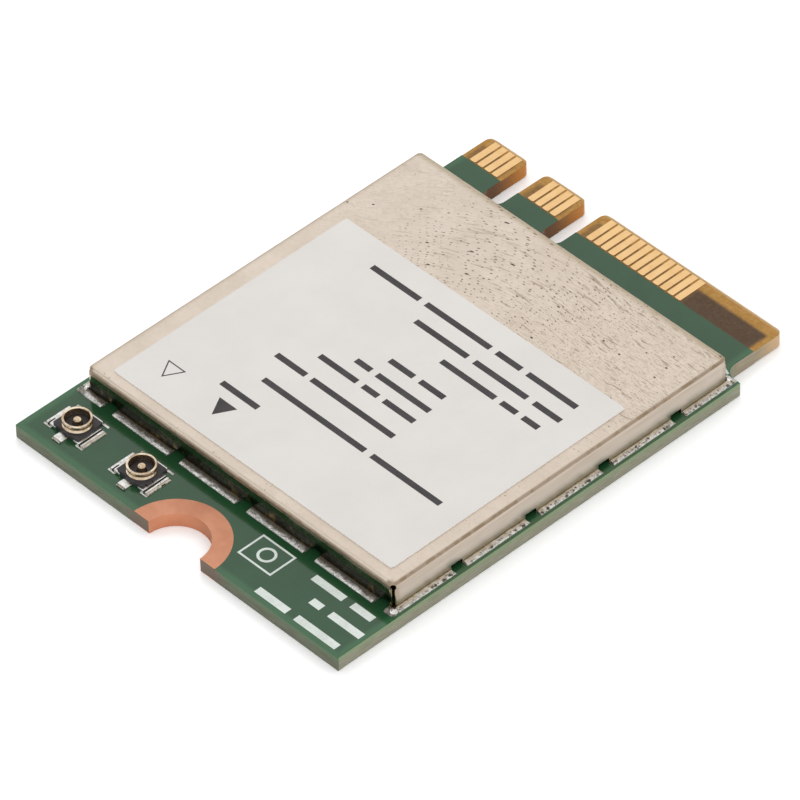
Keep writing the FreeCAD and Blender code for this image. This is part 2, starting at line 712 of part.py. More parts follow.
def radio_chip():
    """Radio processor package, standing on its terminals."""
    body = new_body("radio_chip", *inner_place("Size.radio_x", "Size.radio_inset",
                                               "Size.board_thickness + Size.terminal_thickness"))
    outline = rectangle(body, "package_outline", "XY_Plane", "Size.radio_side", "Size.radio_side")
    pad(body, "package", outline, "Size.radio_height")
    corner = "Size.radio_side / 2 - Size.dimple_inset"
    dimple = circle(body, "dimple_outline", "XY_Plane", "Size.dimple_radius",
                    x=f"-({corner})", y=corner, z="Size.radio_height")
    pocket(body, "dimple", dimple, "Size.dimple_depth")
    return body


def radio_terminals():
    """Rows of terminals and the thermal pad under the radio processor."""
    body = new_body("radio_terminals", *inner_place("Size.radio_x", "Size.radio_inset"))
    middle = rectangle(body, "thermal_pad_outline", "XY_Plane", "Size.thermal_pad_side", "Size.thermal_pad_side")
    pad(body, "thermal_pad", middle, "Size.terminal_thickness")
    run = f"Size.terminal_pitch * {TERMINAL_COUNT - 1}"
    across, along = "Size.terminal_width", "Size.terminal_length"
    for side, sign in (("low", "-"), ("high", "")):
        row = rectangle(body, f"{side}_row_outline", "XY_Plane", across, along,
                        x=f"-({run}) / 2", y=f"{sign}Size.terminal_edge")
        first = pad(body, f"{side}_row_first", row, "Size.terminal_thickness")
        repeat(body, f"{side}_row", [first], (row, ["H_Axis"]), run, TERMINAL_COUNT)
        column = rectangle(body, f"{side}_column_outline", "XY_Plane", along, across,
                           x=f"{sign}Size.terminal_edge", y=f"-({run}) / 2")
        first = pad(body, f"{side}_column_first", column, "Size.terminal_thickness")
        repeat(body, f"{side}_column", [first], (column, ["V_Axis"]), run, TERMINAL_COUNT)
    return body


def clock_crystal():
    """Crystal in a ceramic tray with a seam-welded lid, sealed as one piece."""
    body = new_body("clock_crystal", *inner_place("Size.crystal_x", "Size.crystal_inset"))
    tray = rectangle(body, "tray_outline", "XY_Plane", "Size.crystal_width", "Size.crystal_length")
    pad(body, "tray", tray, "Size.crystal_base_height")
    lid = rectangle(body, "lid_outline", "XY_Plane", "Size.crystal_width - 2 * Size.crystal_lid_inset",
                    "Size.crystal_length - 2 * Size.crystal_lid_inset", z="Size.crystal_base_height")
    pad(body, "lid", lid, "Size.crystal_lid_height")
    return body


def band_filters():
    """One ceramic band filter behind each antenna jack."""
    body = new_body("band_filters", *inner_place("Size.filter_x", "Size.filter_inset"))
    outline = rectangle(body, "filter_outline", "XY_Plane", "Size.filter_width", "Size.filter_length")
    first = pad(body, "filter", outline, "Size.filter_height")
    repeat(body, "filter_pair", [first], (outline, ["H_Axis"]), "Size.filter_spacing", 2)
    return body


def power_inductors():
    """Moulded inductors of the supply."""
    body = new_body("power_inductors", *inner_place("Size.inductor_x", "Size.inductor_inset"))
    outline = rectangle(body, "inductor_outline", "XY_Plane", "Size.inductor_width", "Size.inductor_length")
    first = pad(body, "inductor", outline, "Size.inductor_height")
    pair = repeat(body, "inductor_pair", [first], (outline, ["H_Axis"]), "Size.inductor_spacing", 2)
    dress(body, "Fillet", "inductor_rounds", pair, edges_where(pair, upright), "Size.inductor_round")
    return body


def bypass_capacitors():
    """A row of capacitors on each side of the radio processor."""
    body = new_body("bypass_capacitors", *inner_place("Size.radio_x", "Size.radio_inset"))
    run = f"Size.capacitor_pitch * {CAPACITOR_COUNT - 1}"
    for side, sign in (("left", "-"), ("right", "")):
        row = rectangle(body, f"{side}_outline", "XY_Plane", "Size.capacitor_length", "Size.capacitor_width",
                        x=f"{sign}Size.capacitor_offset", y=f"-({run}) / 2")
        first = pad(body, f"{side}_first", row, "Size.capacitor_height")
        repeat(body, f"{side}_row", [first], (row, ["V_Axis"]), run, CAPACITOR_COUNT)
    return body


def chip_resistors():
    """A row of resistors between the radio processor and the tongue."""
    body = new_body("chip_resistors", *inner_place("Size.radio_x", "Size.radio_inset"))
    run = f"Size.resistor_pitch * {RESISTOR_COUNT - 1}"
    row = rectangle(body, "resistor_outline", "XY_Plane", "Size.resistor_width", "Size.resistor_length",
                    x=f"-({run}) / 2", y="Size.resistor_offset")
    first = pad(body, "resistor", row, "Size.resistor_height")
    repeat(body, "resistor_row", [first], (row, ["H_Axis"]), run, RESISTOR_COUNT)
    return body


def build():
    """Every sub-part of the card, in the order in which it is put together."""
    fill_sheet()
    module = ("Size.module_side", "Size.module_side")
    return [
        circuit_board(),
        mounting_ring(),
        edge_contacts("edge_contacts_top", TOP_PLACE_COUNTS, "Size.bare_top"),
        edge_contacts("edge_contacts_bottom", BOTTOM_PLACE_COUNTS, "0"),
        jack_lands(),
        *antenna_jack("antenna_jack_a", "Size.jack_a_x"),
        *antenna_jack("antenna_jack_b", "Size.jack_b_x"),
        jack_solder(),
        radio_terminals(),
        radio_chip(),
        plain_chip("front_end_module_a", "module_a", *module),
        plain_chip("front_end_module_b", "module_b", *module),
        plain_chip("voltage_regulator", "regulator", "Size.regulator_side", "Size.regulator_side"),
        plain_chip("flash_memory", "memory", "Size.memory_width", "Size.memory_length"),
        clock_crystal(),
        band_filters(),
        power_inductors(),
        bypass_capacitors(),
        chip_resistors(),
        shield_lands(),
        shield_can(),
        shield_solder(),
        label_sheet(),
    ]


def check(pieces):
    """Stop if any object failed to compute or any sub-part has no sound shape."""
    doc.recompute()
    for item in doc.Objects:
        if "Invalid" in item.State or "Error" in item.State:
            raise RuntimeError(f"{item.Label} failed: {item.State}")
    for piece in pieces:
        if piece.Shape.isNull() or not piece.Shape.isValid() or not piece.Shape.Solids:
            raise RuntimeError(f"{piece.Label} has no valid shape")


subparts = build()
check(subparts)
os.makedirs("parts", exist_ok=True)
for subpart in subparts:
    subpart.Shape.exportStep(f"parts/{subpart.Label}.step")
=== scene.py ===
import math

import bmesh
import bpy
from mathutils import Matrix, Vector, noise


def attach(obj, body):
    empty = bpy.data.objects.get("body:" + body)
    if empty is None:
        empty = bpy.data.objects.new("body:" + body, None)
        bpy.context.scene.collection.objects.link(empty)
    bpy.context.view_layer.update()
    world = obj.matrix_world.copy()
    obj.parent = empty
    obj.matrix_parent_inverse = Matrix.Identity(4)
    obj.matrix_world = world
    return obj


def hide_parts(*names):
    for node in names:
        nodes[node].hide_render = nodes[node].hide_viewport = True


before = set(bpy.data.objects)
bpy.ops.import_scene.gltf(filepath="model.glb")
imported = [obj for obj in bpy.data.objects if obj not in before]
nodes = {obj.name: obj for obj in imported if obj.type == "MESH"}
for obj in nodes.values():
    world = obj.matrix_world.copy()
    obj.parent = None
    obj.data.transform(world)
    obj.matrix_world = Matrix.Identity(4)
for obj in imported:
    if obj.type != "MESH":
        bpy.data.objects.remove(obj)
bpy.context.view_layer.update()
scene = bpy.context.scene
MM = 0.001
MICRON = 0.000001
SHARP_ANGLE, FLAT_ANGLE = math.radians(35), math.radians(0.5)
MERGE_DISTANCE, TINY_DISTANCE = 1e-7, 1e-8

# Places on the card in millimetres, as the solids have them
LAND_TOP = 0.83
MASK_TOP = 0.80
BOARD_HALF = 11.0
BOARD_END = -15.0
SHOULDER_Y = 11.0
TONGUE_HALF = 9.925
BARE_Y = 13.0
KEY_XS = (-6.625, -2.625)
KEY_HALF = 0.6
KEY_END_Y = 11.5
CAN_LEFT, CAN_RIGHT, CAN_FRONT, CAN_FAR = -10.40, 10.50, -11.00, 10.72
FRONT_GAPS = [-8.63 + 4.62 * k for k in range(5)]
SIDE_GAPS = [-6.99 + 4.74 * k for k in range(4)]
GAP_HALF = 0.35
SHEET_TOP = 2.374
JACK_XS = (-8.80, -4.33)
JACK_Y = -13.05


# Node wiring

class Wiring:
    """Short calls that add nodes to one tree and wire them; most give the socket to wire on."""

    def __init__(self, tree):
        self.tree = tree

    def feed(self, socket, value):
        """Link a socket, or set the value of one that stays unlinked."""
        if isinstance(value, bpy.types.NodeSocket):
            self.tree.links.new(value, socket)
        else:
            socket.default_value = value

    def node(self, kind, *values, **settings):
        """A new node with its settings and its first inputs."""
        made = self.tree.nodes.new(kind)
        for name, value in settings.items():
            setattr(made, name, value)
        for socket, value in zip(made.inputs, values):
            self.feed(socket, value)
        return made

    def named(self, kind, inputs, **settings):
        """A new node with its settings and with inputs that are given by name."""
        made = self.node(kind, **settings)
        for name, value in inputs.items():
            self.feed(made.inputs[name], value)
        return made

    def math(self, operation, *values):
        return self.node("ShaderNodeMath", *values, operation=operation).outputs[0]

    def add(self, first, second):
        return self.math("ADD", first, second)

    def less(self, first, second):
        """The first value less the second."""
        return self.math("SUBTRACT", first, second)

    def size(self, value):
        return self.math("ABSOLUTE", value)

    def chain(self, operation, first, *others):
        """One operation on some values in turn."""
        for other in others:
            first = self.math(operation, first, other)
        return first

    def either(self, *masks):
        """The largest of some masks."""
        return self.chain("MAXIMUM", *masks)

    def both(self, *masks):
        """The product of masks and shares."""
        return self.chain("MULTIPLY", *masks)

    def least(self, *values):
        return self.chain("MINIMUM", *values)

    def other(self, mask):
        """What a mask leaves out."""
        return self.less(1.0, mask)

    def step(self, value, low, high, to_low=0.0, to_high=1.0):
        """A smooth step from one value to another between two limits."""
        made = self.node("ShaderNodeMapRange", value, low, high, to_low, to_high,
                         interpolation_type="SMOOTHSTEP")
        return made.outputs[0]

    def within(self, value, low, high, soft=0.03):
        """A mask that is 1 between two limits."""
        return self.both(self.step(value, low - soft, low + soft),
                         self.step(value, high - soft, high + soft, 1.0, 0.0))

    def mix(self, factor, first, second):
        """A blend of two colours."""
        made = self.node("ShaderNodeMix", data_type="RGBA")
        self.feed(made.inputs[0], factor)
        for index, colour in ((6, first), (7, second)):
            self.feed(made.inputs[index], (*colour, 1.0) if isinstance(colour, tuple) else colour)
        return made.outputs[2]

    def blend(self, factor, first, second):
        """A blend of two numbers."""
        made = self.node("ShaderNodeMix", factor, data_type="FLOAT")
        self.feed(made.inputs[2], first)
        self.feed(made.inputs[3], second)
        return made.outputs[0]

    def scaled(self, vector, factor):
        """A vector or a colour times a number."""
        inputs = {"Vector": vector, "Scale": factor}
        return self.named("ShaderNodeVectorMath", inputs, operation="SCALE").outputs[0]

    def place(self):
        """Object coordinates in millimetres."""
        return self.scaled(self.node("ShaderNodeTexCoord").outputs["Object"], 1 / MM)

    def stretch(self, vector, x, y, z):
        return self.node("ShaderNodeVectorMath", vector, (x, y, z), operation="MULTIPLY").outputs[0]

    def turned(self, vector, angle):
        """Coordinates whose x axis runs at an angle to the card's."""
        inputs = {"Vector": vector, "Angle": self.both(angle, -1.0)}
        return self.named("ShaderNodeVectorRotate", inputs, rotation_type="Z_AXIS").outputs[0]

    def axes(self, vector):
        return self.node("ShaderNodeSeparateXYZ", vector).outputs

    def facing(self):
        """How far the surface faces along each axis."""
        return self.axes(self.node("ShaderNodeTexCoord").outputs["Normal"])

    def noise(self, vector, scale, detail=3.0, roughness=0.55):
        inputs = {"Vector": vector, "Scale": scale, "Detail": detail, "Roughness": roughness}
        return self.named("ShaderNodeTexNoise", inputs, noise_dimensions="3D").outputs[0]

    def bump(self, height, distance):
        """A relief whose height of 1 is a distance in metres."""
        inputs = {"Strength": 1.0, "Distance": distance, "Height": height}
        return self.named("ShaderNodeBump", inputs).outputs[0]


FLOAT, VECTOR = "NodeSocketFloat", "NodeSocketVector"
GEOMETRY, MATERIAL = "NodeSocketGeometry", "NodeSocketMaterial"


def new_tree(kind, name, output, **inputs):
    """A tree with named inputs; gives it, its wiring, its inputs and its one output."""
    tree = bpy.data.node_groups.new(name, kind)
    for label, sort in inputs.items():
        tree.interface.new_socket(label, in_out="INPUT", socket_type=sort)
    tree.interface.new_socket("Result", in_out="OUTPUT", socket_type=output)
    w = Wiring(tree)
    return tree, w, w.node("NodeGroupInput").outputs, w.node("NodeGroupOutput").inputs[0]


def mottle_group():
    """Cloudy change from one value to another over the surface."""
    tree, w, given, out = new_tree("ShaderNodeTree", "mottle", FLOAT,
                                   Place=VECTOR, Scale=FLOAT, Low=FLOAT, High=FLOAT)
    cloud = w.noise(given["Place"], given["Scale"], 4.0, 0.6)
    spread = w.node("ShaderNodeMapRange", cloud, 0.3, 0.7, given["Low"], given["High"])
    w.feed(out, spread.outputs[0])
    return tree


def scratch_group():
    """Fine broken lines that run along x and sway a little."""
    tree, w, given, out = new_tree("ShaderNodeTree", "scratches", FLOAT, Place=VECTOR, Fineness=FLOAT,
                                   Length=FLOAT, Sway=FLOAT, Threshold=FLOAT)
    x, y, z = w.axes(given["Place"])
    sway = w.both(w.noise(given["Place"], 0.5, 2.0), given["Sway"])
    drawn = w.node("ShaderNodeCombineXYZ", w.math("DIVIDE", x, given["Length"]), w.add(y, sway), z)
    line = w.noise(drawn.outputs[0], given["Fineness"], 3.0, 0.6)
    w.feed(out, w.step(line, given["Threshold"], w.add(given["Threshold"], 0.1)))
    return tree


def pit_group():
    """Small pits in a chosen share of the cells of a grid that wanders."""
    tree, w, given, out = new_tree("ShaderNodeTree", "pits", FLOAT, Place=VECTOR, Cell=FLOAT, Radius=FLOAT,
                                   Share=FLOAT, Wander=FLOAT)
    grid = {"Vector": given["Place"], "Scale": w.math("DIVIDE", 1.0, given["Cell"]),
            "Randomness": given["Wander"]}
    cells = w.named("ShaderNodeTexVoronoi", grid, voronoi_dimensions="2D", feature="F1").outputs
    spread, pick = w.node("ShaderNodeSeparateColor", cells["Color"]).outputs[:2]
    reach = w.math("DIVIDE", given["Radius"], given["Cell"])
    reach = w.both(reach, w.step(spread, 0.0, 1.0, 0.5, 1.3))
    dot = w.step(w.math("DIVIDE", cells["Distance"], reach), 0.55, 1.15, 1.0, 0.0)
    w.feed(out, w.both(dot, w.math("LESS_THAN", pick, given["Share"])))
    return tree


MOTTLE, SCRATCHES, PITS = mottle_group(), scratch_group(), pit_group()


def mottle(w, place, scale, low=0.0, high=1.0):
    """Cloudy values between two limits."""
    return w.node("ShaderNodeGroup", place, scale, low, high, node_tree=MOTTLE).outputs[0]


def scratches(w, place, fineness, length, sway, threshold):
    """A mask of fine broken lines."""
    return w.node("ShaderNodeGroup", place, fineness, length, sway, threshold, node_tree=SCRATCHES).outputs[0]


def pits(w, place, cell, radius, share, wander=1.0):
    """A mask of small dots."""
    return w.node("ShaderNodeGroup", place, cell, radius, share, wander, node_tree=PITS).outputs[0]


# Finishes

class Finish(Wiring):
    """The wiring of a new material, with the values that are the same all over."""

    def __init__(self, name, **values):
        self.material = bpy.data.materials.new(name)
        self.material.use_nodes = True
        super().__init__(self.material.node_tree)
        self.shader = self.tree.nodes["Principled BSDF"]
        for label, value in values.items():
            self.shader.inputs[label.replace("_", " ")].default_value = value

    def dress(self, colour, roughness, relief, microns):
        """Wire the colour, the roughness and the relief; gives the material."""
        inputs = self.shader.inputs
        self.feed(inputs["Base Color"], colour)
        self.feed(inputs["Roughness"], roughness)
        self.feed(inputs["Normal"], self.bump(relief, microns * MICRON))
        return self.material


def board_finish(name, index):
    """Green mask over copper, bare laminate on the tongue, and routed laminate edges."""
    mask_green, border_green = (0.0165, 0.068, 0.0255), (0.032, 0.112, 0.046)
    gold_dark, gold_pale, gold_tip = (0.36, 0.180, 0.038), (0.43, 0.232, 0.058), (0.52, 0.355, 0.190)
    brown_dark, brown_pale = (0.078, 0.044, 0.022), (0.098, 0.058, 0.030)
    # The side edges and the front edge are lit and shaded copies of one cut laminate: painted light on the
    # sides, painted shade on the front
    lit_side_dark, lit_side_pale, lit_side_green = (0.222, 0.226, 0.147), (0.325, 0.310, 0.232), (0.215, 0.310, 0.150)
    shaded_front_dark, shaded_front_pale, shaded_front_green = (0.084, 0.097, 0.056), (0.142, 0.155, 0.100), (0.084, 0.160, 0.072)
    notch_brown, fibre_brown = (0.150, 0.092, 0.064), (0.11, 0.085, 0.055)
    slot_painted_shade, slot_painted_glow, slot_ply = (0.165, 0.080, 0.034), (0.62, 0.250, 0.035), (0.26, 0.105, 0.028)
    end_dark, end_pale, end_warm = (0.295, 0.245, 0.162), (0.415, 0.345, 0.248), (0.68, 0.44, 0.225)

    # Limits in millimetres between one look and the next
    backing_left, backing_right, backing_thin = (-9.85, -9.6), (9.46, 9.72), (4.7, 5.2)
    backing_end, tip, tongue_root = (14.12, 14.38), (14.72, 14.98), (11.3, 11.9)
    slot_depth, end_depth, notch_side, mask_skin = (12.3, 14.7), (12.9, 14.6), (2.5, 3.7), (0.40, 0.76)

    w = Finish(name, IOR=index)
    place = w.place()
    x, y, z = w.axes(place)
    face = w.step(w.size(w.facing()[2]), 0.45, 0.8)
    side_x = w.size(x)
    on_tongue = w.step(y, SHOULDER_Y - 0.02, SHOULDER_Y + 0.02)
    half = w.less(BOARD_HALF, w.both(on_tongue, BOARD_HALF - TONGUE_HALF))
    from_side = w.less(half, side_x)
    slots = []
    for key_x in KEY_XS:
        across = w.less(w.size(w.less(x, key_x)), KEY_HALF)
        slots.append(w.either(across, w.less(KEY_END_Y, y)))
    from_slot = w.least(*slots)
    from_edge = w.least(from_side, w.less(y, BOARD_END))

    # Mask, paler where no copper lies under it
    cloud = mottle(w, place, 0.9, 0.92, 1.08)
    border = w.both(w.step(from_edge, 0.14, 0.5, 1.0, 0.0), w.step(on_tongue, 0.0, 1.0, 1.0, 0.85))
    mask = w.scaled(w.mix(border, mask_green, border_green), cloud)

    # Bare tongue, brown where a copper layer backs it
    bare = w.step(y, BARE_Y - 0.01, BARE_Y + 0.01)
    backed = w.both(w.step(y, *backing_end, 1.0, 0.0), w.step(from_slot, 0.1, 0.4),
                    w.step(x, *backing_right, 1.0, 0.0), w.step(x, *backing_left),
                    w.step(x, *backing_thin, 0.55, 1.0))
    weave = w.step(w.noise(w.stretch(place, 3.0, 3.0, 1.0), 2.0, 3.0), 0.35, 0.65)
    gold = w.mix(weave, gold_dark, gold_pale)
    gold = w.mix(w.step(y, *tip), gold, gold_tip)
    brown = w.mix(weave, brown_dark, brown_pale)
    laminate = w.mix(backed, gold, brown)
    upper = w.mix(bare, mask, laminate)

    # Cut edges, each with its plies and fibres; the front edge is painted darker than the side edges, as
    # painted shade and painted light
    plies = w.noise(w.stretch(place, 0.9, 0.9, 14.0), 1.3, 4.0, 0.6)
    fibres = w.noise(w.stretch(place, 5.0, 5.0, 22.0), 1.6, 3.0, 0.6)
    ply = w.step(plies, 0.36, 0.64)
    under_mask = w.step(z, *mask_skin, 0.0, 0.85)
    lit_side_cut = w.mix(under_mask, w.mix(ply, lit_side_dark, lit_side_pale), lit_side_green)
    shaded_front_cut = w.mix(under_mask, w.mix(ply, shaded_front_dark, shaded_front_pale), shaded_front_green)
    shaded_front_cut = w.mix(w.step(side_x, *notch_side, 0.8, 0.0), shaded_front_cut, notch_brown)
    edge = w.mix(w.step(y, BOARD_END + 0.02, BOARD_END + 0.10), shaded_front_cut, lit_side_cut)
    edge = w.mix(w.step(fibres, 0.58, 0.75, 0.0, 0.45), edge, fibre_brown)
    # Slot walls are painted dark deep in the slot and glowing orange towards its open end: painted shade and
    # painted light
    glow = w.mix(w.step(y, *slot_depth), slot_painted_shade, slot_painted_glow)
    slot_cut = w.mix(w.step(plies, 0.36, 0.64, 0.0, 0.3), glow, slot_ply)
    end_cut = w.mix(ply, end_dark, end_pale)
    end_cut = w.mix(w.step(y, *end_depth, 0.0, 0.8), end_cut, end_warm)
    edge = w.mix(w.step(y, *tongue_root), edge, w.mix(w.step(from_side, 0.1, 0.5), end_cut, slot_cut))
    skin = w.blend(bare, mottle(w, place, 2.0, 0.07, 0.13), 0.42)
    rough = w.blend(face, w.step(y, *tongue_root, 0.62, 0.45), skin)
    relief = w.blend(face, w.both(fibres, 6.0), w.noise(place, 2.4, 2.0))
    return w.dress(w.mix(face, edge, upper), rough, relief, 3.0)


def metal_finish(name, colour, dark, roughness, scale, line_turn=0.0, line_share=0.0, spot_share=0.0,
                 wall=None):
    """Plated or bare metal with cloudy tone, fine rubbed lines, spots of dark residue, and walls painted
    darker as painted shade.
    """
    spot_brown, wall_shade_x = (0.030, 0.022, 0.016), (-1.6, 1.9)
    w = Finish(name, Metallic=1.0)
    place = w.place()
    cloud = mottle(w, place, scale)
    lines = scratches(w, w.turned(place, line_turn), fineness=14.0, length=18.0, sway=0.1, threshold=0.6)
    tone = w.mix(w.step(cloud, 0.0, 1.0), dark, colour)
    tone = w.mix(w.both(lines, line_share), tone, dark)
    if spot_share:
        spots = pits(w, place, cell=0.2, radius=0.05, share=spot_share)
        tone = w.mix(spots, tone, spot_brown)
    # Walls, such as those of the drilled notch, are painted darker towards +x as painted shade
    if wall:
        painted_wall_shade = w.mix(w.step(w.axes(place)[0], *wall_shade_x), *wall)
        tone = w.mix(w.step(w.size(w.facing()[2]), 0.3, 0.8, 1.0, 0.0), tone, painted_wall_shade)
    rough = w.blend(cloud, roughness * 1.25, roughness * 0.85)
    return w.dress(tone, w.add(rough, w.both(lines, 0.12)), w.add(lines, cloud), 1.5)


def solder_finish():
    """Bright solder with a grainy skin and dark specks of flux, browner along the front of the can; its upper
    part against the wall is painted darker as painted shade.
    """
    skin_dark, skin_pale = (0.56, 0.54, 0.51), (0.90, 0.89, 0.87)
    side_grey, side_upper_shade = (0.34, 0.32, 0.27), (0.56, 0.475, 0.34)
    side_flux_and_shade, front_flux_and_shade = (0.070, 0.054, 0.036), (0.130, 0.108, 0.074)
    front_y, inner_z = (CAN_FRONT - 0.6, CAN_FRONT + 0.05), (MASK_TOP + 0.062, MASK_TOP + 0.098)
    corner_x = (10.1, 10.3)
    w = Finish("solder", Metallic=1.0)
    place = w.place()
    grain = w.noise(place, 7.0, 4.0, 0.65)
    x, y, z = w.axes(place)
    front = w.within(y, *front_y)
    wander = w.named("ShaderNodeTexNoise", {"Vector": place, "Scale": 5.0}, noise_dimensions="3D")
    drift = w.stretch(wander.outputs["Color"], 0.22, 0.22, 0.0)
    shifted = w.node("ShaderNodeVectorMath", place, drift, operation="ADD").outputs[0]
    specks = pits(w, shifted, cell=0.26, radius=0.12, share=0.8)
    cluster = w.step(w.noise(place, 0.85, 2.0), 0.40, 0.54, 0.2, 1.0)
    stain_and_reflection = w.step(w.noise(place, 3.2, 3.0), 0.5, 0.64)
    dull = w.both(stain_and_reflection, w.step(w.noise(place, 0.6, 2.0), 0.42, 0.62, 0.35, 0.95))
    # The upper part of each run, against the wall, is painted darker: brown beside the side and far walls as
    # painted shade, dark along the front as flux and painted shade
    ragged = w.add(z, w.both(w.less(grain, 0.5), 0.09))
    inner = w.step(ragged, *inner_z)
    fine = pits(w, w.stretch(place, 1.0, 0.8, 1.0), cell=0.13, radius=0.05, share=0.4)
    spotted = w.either(w.both(specks, cluster), w.both(fine, cluster, 0.7), w.both(dull, 0.8))
    spotted = w.both(spotted, w.blend(front, w.step(inner, 0.0, 1.0, 1.0, 0.2), 0.35))
    corner = w.both(front, w.step(w.size(x), *corner_x), w.step(grain, 0.35, 0.6, 0.45, 0.95))
    flux_and_shade = w.both(w.either(spotted, w.both(inner, front), corner), 0.93)
    bright = w.mix(w.step(grain, 0.35, 0.65), skin_dark, skin_pale)
    beside = w.other(front)
    bright = w.mix(w.both(beside, 0.25), bright, side_grey)
    bright = w.mix(w.both(inner, beside, 0.8), bright, side_upper_shade)
    flux_and_shade_tone = w.mix(front, side_flux_and_shade, front_flux_and_shade)
    return w.dress(w.mix(flux_and_shade, bright, flux_and_shade_tone), w.blend(flux_and_shade, 0.24, 0.6), w.less(grain, flux_and_shade), 20.0)


def jack_finish():
    """Thin polished gold whose pale and dark patches are a painted reflection of highlights and darks, with
    painted shade in the groove of the ring.
    """
    gold_dark, gold_pale = (0.50, 0.365, 0.235), (0.93, 0.80, 0.61)
    rub_brown, groove_painted_shade = (0.36, 0.25, 0.15), (0.20, 0.130, 0.075)
    groove_z = (1.19, 1.315)
    w = Finish("jack_gold", Metallic=1.0)
    place = w.place()
    z = w.axes(place)[2]
    cloud = mottle(w, w.stretch(place, 1.0, 1.0, 0.4), 2.1)
    rubbed = scratches(w, w.stretch(place, 1.0, 1.0, 6.0), fineness=4.0, length=2.0, sway=0.1, threshold=0.55)
    # Pale and dark patches stand in for reflected highlights and darks: painted reflection
    tone = w.mix(w.step(cloud, 0.1, 0.9), gold_dark, gold_pale)
    tone = w.mix(w.both(rubbed, 0.35), tone, rub_brown)
    # The groove of the ring is painted brown as painted shade
    shaded_groove = w.within(z, *groove_z, 0.02)
    tone = w.mix(w.both(shaded_groove, 0.85), tone, groove_painted_shade)
    rough = w.either(w.step(cloud, 0.0, 1.0, 0.2, 0.09), w.both(shaded_groove, 0.5))
    return w.dress(tone, rough, w.add(cloud, rubbed), 3.0)


